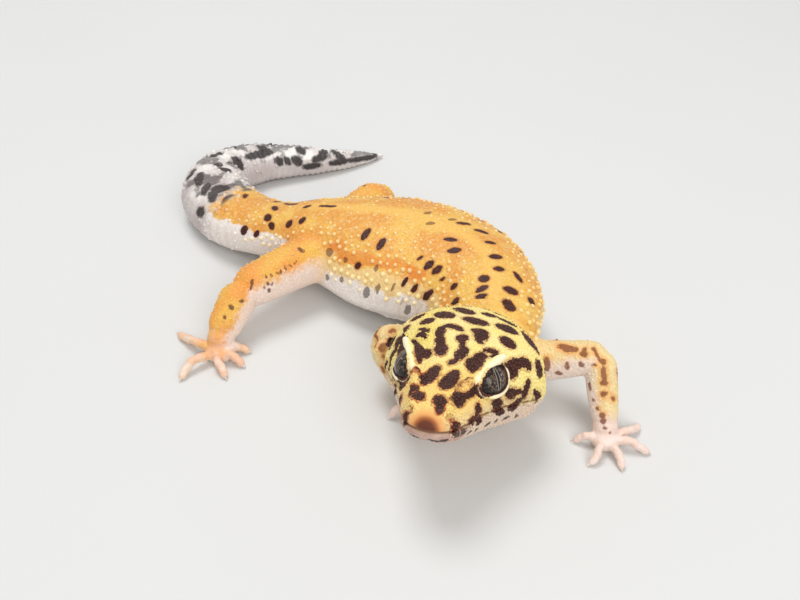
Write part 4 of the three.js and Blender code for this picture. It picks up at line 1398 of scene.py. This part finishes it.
def grow_coat(name, cover, grain, part, material, seed):
    """Makes one coat of scales over the skin: cover says how surely one grows, and grain how large."""
    sizes = getattr(bpy.context.scene, name)
    mesh = STATE["skin"].copy()
    set_number(mesh, "cover", cover)
    set_number(mesh, "grain", grain)
    set_number(mesh, "unwrap", unwrap_of(STATE["places"], part), "FLOAT_VECTOR")
    holder = held(mesh)
    modifier = holder.modifiers.new("coat", "NODES")
    modifier.node_group = STATE["coat_tree"]
    values = {"Spacing": sizes.spacing * MM, "Seed": seed, "Size": sizes.width * MM / 2,
              "Height": sizes.height * MM, "Roundness": sizes.roundness, "Sides": sizes.sides,
              "Rings": sizes.rings, "Lean": sizes.lean, "Material": material}
    for item in STATE["coat_tree"].interface.items_tree:
        if item.in_out == "INPUT" and item.name in values:
            modifier[item.identifier] = values[item.name]
    made = worked_out(holder)
    for extra in ("cover", "grain", "unwrap", "patch", "heading"):  # of use only while the coat grows
        if extra in made.attributes:
            made.attributes.remove(made.attributes[extra])
    add_piece(name, made)


# ---------------- eyes and claws

# the darkening of the eyeball next to the lids is painted shade
PUPIL, BESIDE_IRIS, PAINTED_LID_SHADE = (0.004, 0.003, 0.003), (0.01, 0.008, 0.008), (0.008, 0.006, 0.006)


def eye_mesh(name, side):
    """An eyeball with a clear swelling in front, whose points know where they lie across the iris."""
    sight = unit(on_side(SIGHT, side))
    centre = on_side(EYE_AT, side)
    slit = unit(UP - sight * UP.dot(sight))
    level = np.cross(slit, sight)
    angle = np.linspace(0.01, np.pi - 0.01, 64)[:, None]
    turned = np.linspace(0, 2 * np.pi, 96, endpoint=False)[None]
    x, y, out = np.sin(angle) * np.cos(turned), np.sin(angle) * np.sin(turned), np.cos(angle) + 0 * turned
    radius = (EYE_RADIUS + EYE_UNDER_LIDS) * (1 + 0.04 * rise_between(out, 0.5, 1.0))
    ball = x[..., None] * level + y[..., None] * slit + out[..., None] * sight
    solid = Solid()
    solid.shell(place_head(centre + radius[..., None] * ball))
    mesh = solid.mesh(name)
    points = np.concatenate(solid.points)
    local = (points - SNOUT) @ HEAD_TURN - centre
    _, along, gaze, across = lid_axes(side)
    from_lid = slit_reach(local @ along, local @ across + LID_DROP)
    for axis, values in (("x", local @ level), ("y", local @ slit), ("out", local @ sight),
                         ("lid", np.where(local @ gaze > 0, from_lid, 2.0))):
        set_number(mesh, "iris_" + axis, values)
    finish_mesh(mesh, points)
    return mesh


def finish_mesh(mesh, points):
    """Puts a mesh made in millimetres in its place in metres, faces outwards and smooth."""
    move_points(mesh, to_metres(points))
    p = coordinates(mesh)
    a, b, c = (p[corner] for corner in triangles(mesh).T)
    if (np.cross(a, b) * c).sum() < 0:
        mesh.flip_normals()
    mesh.shade_smooth()


def eye_material(look):
    """A dark grey-brown iris with fine silvery veins, an upright slit with wavy edges, and a wet front."""
    paint = Paint("gecko_eye")
    x, y, out, lid = (paint.number("iris_" + name) for name in ("x", "y", "out", "lid"))
    veins, streaks = paint.noise(0.5, 4.0, 0.62), paint.noise(0.3, 3.0, 0.7)
    wave = (paint.noise(0.8) - 0.5) * 0.35
    from_middle = (x * x + y * y) ** 0.5
    width = (1 - (y / 1.95) ** 2.0).most(0.0) ** 0.6 * look.slit_width
    from_slit = abs(x + wave * 0.4) - width - wave * 0.3
    slit_edge = (1 - from_slit.rise(0.02, 0.2)) * (1 - abs(y).rise(1.8, 2.0))
    pupil = (1 - from_slit.rise(-0.03, 0.05)) * (1 - abs(y).rise(1.85, 1.95))
    colour = paint.coats(
        look.iris,
        (veins.rise(0.46, 0.58), look.iris_vein),
        (streaks.rise(0.52, 0.66) * veins.rise(0.44, 0.56) * 0.75, look.iris_bright),
        (from_middle.rise(1.7, 2.7) * 0.85, look.iris_rim),
        (slit_edge * 0.8, look.iris_bright),
        (pupil, PUPIL),
        (1 - out.rise(0.2, 1.0), BESIDE_IRIS),
        # painted shade on the eyeball along the edge of the lids
        (lid.rise(0.72, 0.98) * 0.9, PAINTED_LID_SHADE))
    relief = paint.bump(veins, 0.03, 0.25)
    wet = {"Coat Weight": 0.8, "Coat Roughness": 0.03, "Coat IOR": 1.33, "Specular IOR Level": 0.15}
    return paint.finish(colour, 0.42, relief, **wet)


def claw_mesh(name):
    """All the claws: short curved cones, one at the end of each toe."""
    solid = Solid()
    steps = np.linspace(0, 1, 9)
    for leg in LEGS.values():
        size = leg["palm"][0] / HIND["palm"][0]
        for knuckle, tip in leg["toes"]:
            knuckle, tip = np.array(knuckle), np.array(tip)
            out = unit((tip - knuckle) * [1, 1, 0])
            path = tip + out * (TOE_PAST - 0.35 + (CLAW_LENGTH * size + 0.3) * steps[:, None])
            path[:, 2] = tip[2] + 0.16 + 0.3 * steps - 0.72 * steps ** 2
            solid.shell(rings_along(path, size * (0.26 * (1 - steps) ** 0.7 + 0.04), 10))
    mesh = solid.mesh(name)
    finish_mesh(mesh, np.concatenate(solid.points))
    return mesh


def claw_material(look):
    paint = Paint("gecko_claw")
    grain = paint.noise(0.35, 3.0)
    colour = paint.mix(grain.rise(0.35, 0.7), look.claw, look.claw_dark)
    return paint.finish(colour, grain * 0.15 + 0.28, paint.bump(grain, 0.03, 0.4))


# ---------------- what a user can change


def colour(name, code, description):
    """A setting for a colour."""
    return bpy.props.FloatVectorProperty(name=name, description=description, default=linear(code),
                                         subtype="COLOR", size=3, min=0.0, max=1.0)


def number(name, default, description, least=0.0, most=10.0, **kind):
    """A setting for a number."""
    return bpy.props.FloatProperty(name=name, description=description, default=default,
                                   min=least, max=most, **kind)


def count(name, default, description, least):
    """A setting for a whole number."""
    return bpy.props.IntProperty(name=name, description=description, default=default, min=least)


class GeckoColours(bpy.types.PropertyGroup):
    """The colours of skin and scales."""

    back_orange: colour("Back, deep", "#e49c40", "The deeper orange of the back")
    back_gold: colour("Back, light", "#edba56", "The lighter orange of the back")
    stripe: colour("Back stripe", "#f5c264", "The band along the middle of the back")
    tubercle: colour("Tubercles", "#f8e4a8", "The tops of the large scales on the back")
    flank: colour("Flank", "#f0ce8e", "The band between back and belly")
    belly: colour("Belly", "#f2e9e2", "The underside and the inside of the legs")
    leg_orange: colour("Legs", "#eea04a", "The outside of the legs")
    arm: colour("Front legs", "#f2d99e", "The upper side of the front legs")
    leg_spot: colour("Leg marks", "#7d4122", "The blotches of the front legs")
    leg_pale: colour("Legs, pale side", "#f8e6dc", "The side of the legs that faces down and inwards")
    foot: colour("Feet", "#efd3c4", "Hands, feet and toes")
    tail_white: colour("Tail, white", "#f8f4ee", "The pale ground of the tail")
    tail_lilac: colour("Tail, lilac", "#c8bcb9", "Clouds of the tail, and its underside")
    grey: colour("Grey marks", "#252020", "Marbling of the tail, and faint marks on white")
    crown: colour("Head, yellow", "#f6e07e", "The ground colour of head and nape")
    crown_light: colour("Head, light", "#fae8a0", "The paler patches of the head")
    snout: colour("Snout", "#f7d07a", "Between the eyes and the nostrils")
    snout_tip: colour("Snout cap", "#eaa862", "The smooth cap over the tip of the snout")
    snout_deep: colour("Snout tip", "#b05e2e", "The lower part of the snout cap")
    lip: colour("Upper lip", "#ddc596", "Cheeks and upper lip")
    chin: colour("Chin", "#dcc4b0", "Lower jaw and throat")
    blush: colour("Nostrils", "#a97e76", "Below each nostril and on the front lower lip")
    lid: colour("Eyelids", "#f9eec8", "The thick upper lids and thin lower ones")
    spot: colour("Spots", "#360f08", "Dark spots")
    # the paler tone of spots and leg marks, and partly a painted highlight on the spots' grains
    spot_light: colour("Spots, light", "#562a1e", "The paler grains of the dark spots")
    # a painted highlight on the tips of scales in dark spots
    spot_tip: colour("Spots, tips", "#8a625c", "The shiny tops of the scales in dark spots")
    rust: colour("Flank, rusty", "#e28433", "Patches along the lower edge of the orange")
    halo: colour("Spot edges", "#a9501c", "The edges of the dark spots")
    # brown also paints shade: at the base of scales, in the gaps between skin grains, and in the crease
    # along the lower lids
    brown: colour("Brown", "#5e2f1f", "The nose, the line of the lips and faint marks")


class GeckoEyeLook(bpy.types.PropertyGroup):
    """The colours of eyes and claws."""

    iris: colour("Iris", "#120b09", "The ground of the iris")
    iris_vein: colour("Iris veins", "#54402f", "The fine veins of the iris")
    iris_bright: colour("Iris, bright", "#b5a594", "The bright edge of the slit, and streaks of the iris")
    iris_rim: colour("Iris rim", "#0c0908", "The outer rim of the iris")
    claw: colour("Claws", "#eee0d2", "The claws")
    claw_dark: colour("Claws, dark", "#c7ab94", "The streaks of the claws")
    slit_width: number("Slit", 0.24, "Half the width of the pupil in millimetres", 0.02, 1.0)


class GeckoSkinSize(bpy.types.PropertyGroup):
    """How finely the skin is built."""

    cell: number("Cell", 0.26, "Edge of one face of the skin in millimetres, at first", 0.2, 1.0)
    inset: number("Under the scales", 0.3, "How far the skin lies inside the frame in millimetres", 0.0, 1.0)
    faces: count("Faces", 190000, "The most triangles that the skin keeps", 20000)


def scale_group(title, spacing, width, height, roundness, sides, rings, lean, about):
    """A PropertyGroup class with the sizes of one kind of scale."""
    fields = {
        "spacing": number("Spacing", spacing, "Least distance between scales in millimetres", 0.1),
        "width": number("Width", width, "Width of a scale in millimetres"),
        "height": number("Height", height, "Height of a scale in millimetres"),
        "roundness": number("Roundness", roundness, "1 is a cone and 2 a dome"),
        "lean": number("Lean", lean, "How far the tip leans back", most=2.0),
        "sides": count("Sides", sides, "Corners of a scale", 4),
        "rings": count("Rings", rings, "Rings of faces", 1),
    }
    return type(title, (bpy.types.PropertyGroup,), {"__doc__": about, "__annotations__": fields})


GeckoHeadScales = scale_group("GeckoHeadScales", 0.5, 0.68, 0.2, 2.1, 6, 2, 0.0, "Round grains of the head.")
GeckoBackTubercles = scale_group("GeckoBackTubercles", 1.3, 1.3, 0.62, 1.9, 8, 3, 0.08,
                                 "Large scales of the back and flanks.")
GeckoTailTubercles = scale_group("GeckoTailTubercles", 1.5, 1.5, 0.8, 1.5, 8, 3, 0.3,
                                 "Pointed scales in rings round the tail.")
GeckoLegTubercles = scale_group("GeckoLegTubercles", 1.1, 0.8, 0.42, 1.7, 7, 3, 0.15,
                                "Scales on the outside of the legs.")


class GeckoStageLook(bpy.types.PropertyGroup):
    """The floor, the light and the camera."""

    floor: colour("Floor", "#d9d9d7", "The floor under the animal")
    lens: number("Lens", 38.25, "Focal length in millimetres", 10.0, 500.0)
    elevation: number("Elevation", math.radians(40), "How far the camera looks down", most=1.5,
                      subtype="ANGLE")
    distance: number("Distance", 0.185, "From the camera to the middle of the view", 0.05,
                     subtype="DISTANCE", unit="LENGTH")
    world: number("World", 0.54, "Even light from all round")
    key: number("Key light", 3.1, "Power of the large lamp above, in watts", most=100.0,
                subtype="POWER", unit="POWER")
    fill: number("Fill light", 2.8, "Power of the lamp in front, in watts", most=100.0,
                 subtype="POWER", unit="POWER")


# ---------------- the steps

STATE = {}  # what the skin's step leaves for the steps that grow scales on it
ABOVE_FLOOR = 0.03
TAIL_COAT = 10.7, 18.7  # the stations between which the tail's tubercles stand
FLESH = [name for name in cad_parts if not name.endswith("_eye")]


def backwards(at):
    """The way the scales lean: back along the head and the spine, and down the legs."""
    heading = np.where((at.part == 0)[:, None], np.array([0.0, 1.0, 0.0]) @ HEAD_TURN.T,
                       spine_frame(at.station)[1])
    for number, leg in enumerate(LEGS.values()):
        root, knee, ankle = (np.array(joint) for joint in leg["joints"])
        there = (at.part == 2) & (at.leg == number)
        heading[there] = np.where((at.reach[there] < 1)[:, None], unit(knee - root), unit(ankle - knee))
    return heading


class GECKO_OT_skin(bpy.types.Operator):
    """Builds the one skin that covers all the flesh of the animal"""

    bl_idname = "gecko.skin"
    bl_label = "Skin"

    def execute(self, context):
        sizes = context.scene.gecko_skin
        skin = remeshed(gecko_solid(sizes.inset).mesh("shells"), sizes.cell)
        net = Net(skin)
        shape_skin(net)
        open_lids(net)
        net.points[:, 2] = np.maximum(net.points[:, 2], ABOVE_FLOOR)
        move_points(skin, net.points)
        share = sizes.faces / len(net.tris)
        if share < 1:
            skin = thinned(skin, share, keep_share(Places(net.points)))
            net = Net(skin)
        at = Places(net.points, net.normals())
        masks = body_masks(at)
        for name, values in masks.items():
            set_number(skin, name, values)
        finish_mesh(skin, net.points)
        shown = skin.copy()
        set_number(skin, "heading", backwards(at), "FLOAT_VECTOR")
        STATE.update(skin=skin, places=at, masks=masks, coat_tree=coat_tree())
        shown.materials.append(skin_material())
        add_piece("gecko_skin", shown, FLESH)
        return {"FINISHED"}


def clear_of_lids(at):
    """1 away from eyes, lids, lips and nostrils, and 0 on them."""
    masks = STATE["masks"]
    clear = (masks["smooth"] < 0.3) & (masks["lips"] < -0.12)
    for side in (1, -1):
        off = at.local - on_side(EYE_AT, side)
        inside = (np.linalg.norm(off, axis=1) < EYE_RADIUS + 0.35) & (off @ on_side(unit(GAZE), side) > 1.0)
        nostril = np.linalg.norm(at.local - on_side(NOSTRIL, side), axis=1) < 0.7
        clear &= ~inside & ~nostril
    return clear.astype(float)


class GECKO_OT_head_scales(bpy.types.Operator):
    """Covers the head with small round scales, larger on snout, lips and cheeks"""

    bl_idname = "gecko.head_scales"
    bl_label = "Head scales"

    def execute(self, context):
        at = STATE["places"]
        throat_seam = (np.abs(at.local[:, 0]) < 0.7) & (at.local[:, 2] < 0)
        cover = rise_between(at.share[0], 0.35, 0.6) * clear_of_lids(at) * ~throat_seam
        cover = cover * (at.back < 30)
        along_mouth = hill(at.local[:, 2], mouth_height(at.back), 1.1)
        grain = 1.0 + 0.12 * rise_between(9 - at.back, 0, 6) + 0.3 * along_mouth
        grain = grain + 0.3 * rise_between(at.back, 14, 18) * rise_between(8 - at.local[:, 2], 0, 4)
        # the pale crown_light tops of the head's grains are painted highlight
        material = scale_material("gecko_head_scale", "crown_light", pale_top_and_highlight_share=0.12, shine=0.3)
        grow_coat("gecko_head_scales", cover, grain, "head", material, seed=11)
        return {"FINISHED"}


class GECKO_OT_back_tubercles(bpy.types.Operator):
    """Sets the large round scales on the neck, back and flanks"""

    bl_idname = "gecko.back_tubercles"
    bl_label = "Back tubercles"

    def execute(self, context):
        at = STATE["places"]
        down = at.from_back()
        cover = at.share[1] * rise_between(at.station, 0.9, 1.6) * (at.station < 10.9) * (at.part == 1)
        cover = cover * rise_between(88 - down, 0, 8) * (0.25 + 0.75 * rise_between(down, 8, 42))
        cover = cover * (STATE["masks"]["dark"] < -0.6) * (STATE["masks"]["faint"] < -0.45)
        grain = 0.72 + 0.38 * rise_between(down, 12, 50) - 0.05 * rise_between(down, 72, 84)
        material = scale_material("gecko_tubercle", "tubercle", pale_top_and_highlight_share=0.92, shine=0.32)
        grow_coat("gecko_back_tubercles", cover, grain, "body", material, seed=23)
        return {"FINISHED"}


class GECKO_OT_tail_tubercles(bpy.types.Operator):
    """Sets pointed scales in rings round the tail"""

    bl_idname = "gecko.tail_tubercles"
    bl_label = "Tail tubercles"

    def execute(self, context):
        at = STATE["places"]
        down = at.from_back()
        turn_share = np.abs(whorl_of(at.station) % 1 - 0.5)  # 0.5 on a whorl, 0 between two
        first, last = TAIL_COAT
        cover = at.share[1] * (turn_share > 0.34) * (at.part == 1) * rise_between(118 - down, 0, 10)
        cover = cover * (at.station > first) * (at.station < last)
        grain = np.interp(at.station, [first, 14, 17, last], [0.85, 1.0, 0.62, 0.35])
        grain = grain * (1 - 0.35 * rise_between(down, 50, 90))
        material = scale_material("gecko_tail_scale", "tail_white", pale_top_and_highlight_share=0.32, shine=0.38)
        grow_coat("gecko_tail_tubercles", cover, grain, "body", material, seed=31)
        return {"FINISHED"}


class GECKO_OT_leg_tubercles(bpy.types.Operator):
    """Sets small round scales on the outside of the legs"""

    bl_idname = "gecko.leg_tubercles"
    bl_label = "Leg tubercles"

    def execute(self, context):
        at = STATE["places"]
        cover = (at.part == 2) * at.share[2] * rise_between(2.15 - at.reach, 0, 0.3)
        cover = cover * rise_between(np.where(at.fore, 0.7, 0.25) - at.pale_side, 0, 0.4)
        grain = np.where(at.fore, 0.8, 1.0) * np.interp(at.reach, [0, 1, 2.2], [1.05, 1.0, 0.7])
        material = scale_material("gecko_leg_scale", "tubercle", pale_top_and_highlight_share=0.45, shine=0.38)
        grow_coat("gecko_leg_tubercles", cover, grain, "legs", material, seed=47)
        return {"FINISHED"}


class GECKO_OT_eyes(bpy.types.Operator):
    """Makes both eyes, with slit pupils, in place of the frame's plain balls"""

    bl_idname = "gecko.eyes"
    bl_label = "Eyes"

    def execute(self, context):
        material = eye_material(context.scene.gecko_eyes)
        for name, side in (("left", 1), ("right", -1)):
            mesh = eye_mesh("gecko_eye_" + name, side)
            mesh.materials.append(material)
            add_piece("gecko_eye_" + name, mesh, [name + "_eye"])
        return {"FINISHED"}


class GECKO_OT_claws(bpy.types.Operator):
    """Makes the claws at the ends of the toes"""

    bl_idname = "gecko.claws"
    bl_label = "Claws"

    def execute(self, context):
        mesh = claw_mesh("gecko_claws")
        mesh.materials.append(claw_material(context.scene.gecko_eyes))
        add_piece("gecko_claws", mesh)
        return {"FINISHED"}


class GECKO_OT_stage(bpy.types.Operator):
    """Sets the floor, the soft lamps, the pale surroundings and the camera"""

    bl_idname = "gecko.stage"
    bl_label = "Stage"

    def execute(self, context):
        look, scene = context.scene.gecko_stage, context.scene
        bpy.ops.mesh.primitive_plane_add(size=3.0)
        floor = context.object
        floor.name = "floor"
        floor.data.materials.append(self.floor_material(look))

        world = bpy.data.worlds.new("studio")
        world.use_nodes = True
        scene.world = world
        graph = Graph(world.node_tree)
        graph.tree.nodes.clear()
        seen = self.seen(graph)
        even = graph.node("ShaderNodeBackground", {}, {"Color": (1, 1, 1, 1), "Strength": look.world})
        plain = graph.node("ShaderNodeBackground", {}, {"Color": (1, 1, 1, 1), "Strength": 0.8})
        shown = graph.node("ShaderNodeMixShader", {}, {0: seen, 1: even, 2: plain})
        graph.node("ShaderNodeOutputWorld", {}, {"Surface": shown})

        self.lamp("key", (-0.12, 0.2, 0.8), size=0.4, power=look.key)
        self.lamp("fill", (0.25, -0.6, 0.5), size=0.5, power=look.fill)

        data = bpy.data.cameras.new("camera")
        camera = bpy.data.objects.new("camera", data)
        scene.collection.objects.link(camera)
        scene.camera = camera
        data.lens, data.sensor_width, data.clip_start = look.lens, 36.0, 0.01
        back = np.array([0, -math.cos(look.elevation), math.sin(look.elevation)])
        camera.location = to_metres(np.zeros(3)) + back * look.distance
        camera.rotation_euler = (math.pi / 2 - look.elevation, 0, 0)
        scene.view_settings.view_transform = "Standard"
        return {"FINISHED"}

    def seen(self, graph):
        """1 for rays that show the surroundings: straight, mirrored or through glass."""
        path = graph.node("ShaderNodeLightPath").socket.node
        seen, mirrored_in, through = (Wire(graph, path.outputs["Is " + kind + " Ray"])
                                      for kind in ("Camera", "Glossy", "Transmission"))
        return seen.most(mirrored_in).most(through)

    def floor_material(self, look):
        paint = Paint("floor")
        mottle = paint.noise(60.0, 2.0)
        colour = paint.mix(mottle * 0.2, tuple(look.floor), (0.8, 0.8, 0.8))
        return paint.finish(colour, 0.75)

    def lamp(self, name, place, size, power):
        """A round lamp that faces the middle of the scene."""
        data = bpy.data.lights.new(name, "AREA")
        data.shape, data.size, data.energy = "DISK", size, power
        lamp = bpy.data.objects.new(name, data)
        bpy.context.scene.collection.objects.link(lamp)
        lamp.location = place
        x, y, z = -np.array(place) / np.linalg.norm(place)  # towards the middle
        lamp.rotation_euler = (math.acos(-z), 0, math.atan2(x, -y) + math.pi)


class GECKO_PT_panel(bpy.types.Panel):
    """Lists the steps in order"""

    bl_idname = "GECKO_PT_panel"
    bl_label = "Leopard gecko"
    bl_space_type = "VIEW_3D"
    bl_region_type = "UI"
    bl_category = "Gecko"

    def draw(self, context):
        for step in STEPS:
            self.layout.operator(step.bl_idname)


GROUPS = {
    "gecko_colours": GeckoColours, "gecko_eyes": GeckoEyeLook, "gecko_skin": GeckoSkinSize,
    "gecko_head_scales": GeckoHeadScales, "gecko_back_tubercles": GeckoBackTubercles,
    "gecko_tail_tubercles": GeckoTailTubercles, "gecko_leg_tubercles": GeckoLegTubercles,
    "gecko_stage": GeckoStageLook,
}
STEPS = [GECKO_OT_stage, GECKO_OT_skin, GECKO_OT_eyes, GECKO_OT_head_scales, GECKO_OT_back_tubercles,
         GECKO_OT_tail_tubercles, GECKO_OT_leg_tubercles, GECKO_OT_claws]


def register():
    for item in (*GROUPS.values(), *STEPS, GECKO_PT_panel):
        bpy.utils.register_class(item)
    for name, group in GROUPS.items():
        setattr(bpy.types.Scene, name, bpy.props.PointerProperty(type=group))


def unregister():
    for name in GROUPS:
        delattr(bpy.types.Scene, name)
    for item in reversed((*GROUPS.values(), *STEPS, GECKO_PT_panel)):
        bpy.utils.unregister_class(item)


def main():
    register()
    for step in STEPS:
        area, name = step.bl_idname.split(".")
        if getattr(getattr(bpy.ops, area), name)() != {"FINISHED"}:
            raise RuntimeError(step.bl_label + " was not finished")


if __name__ == "__main__":
    main()
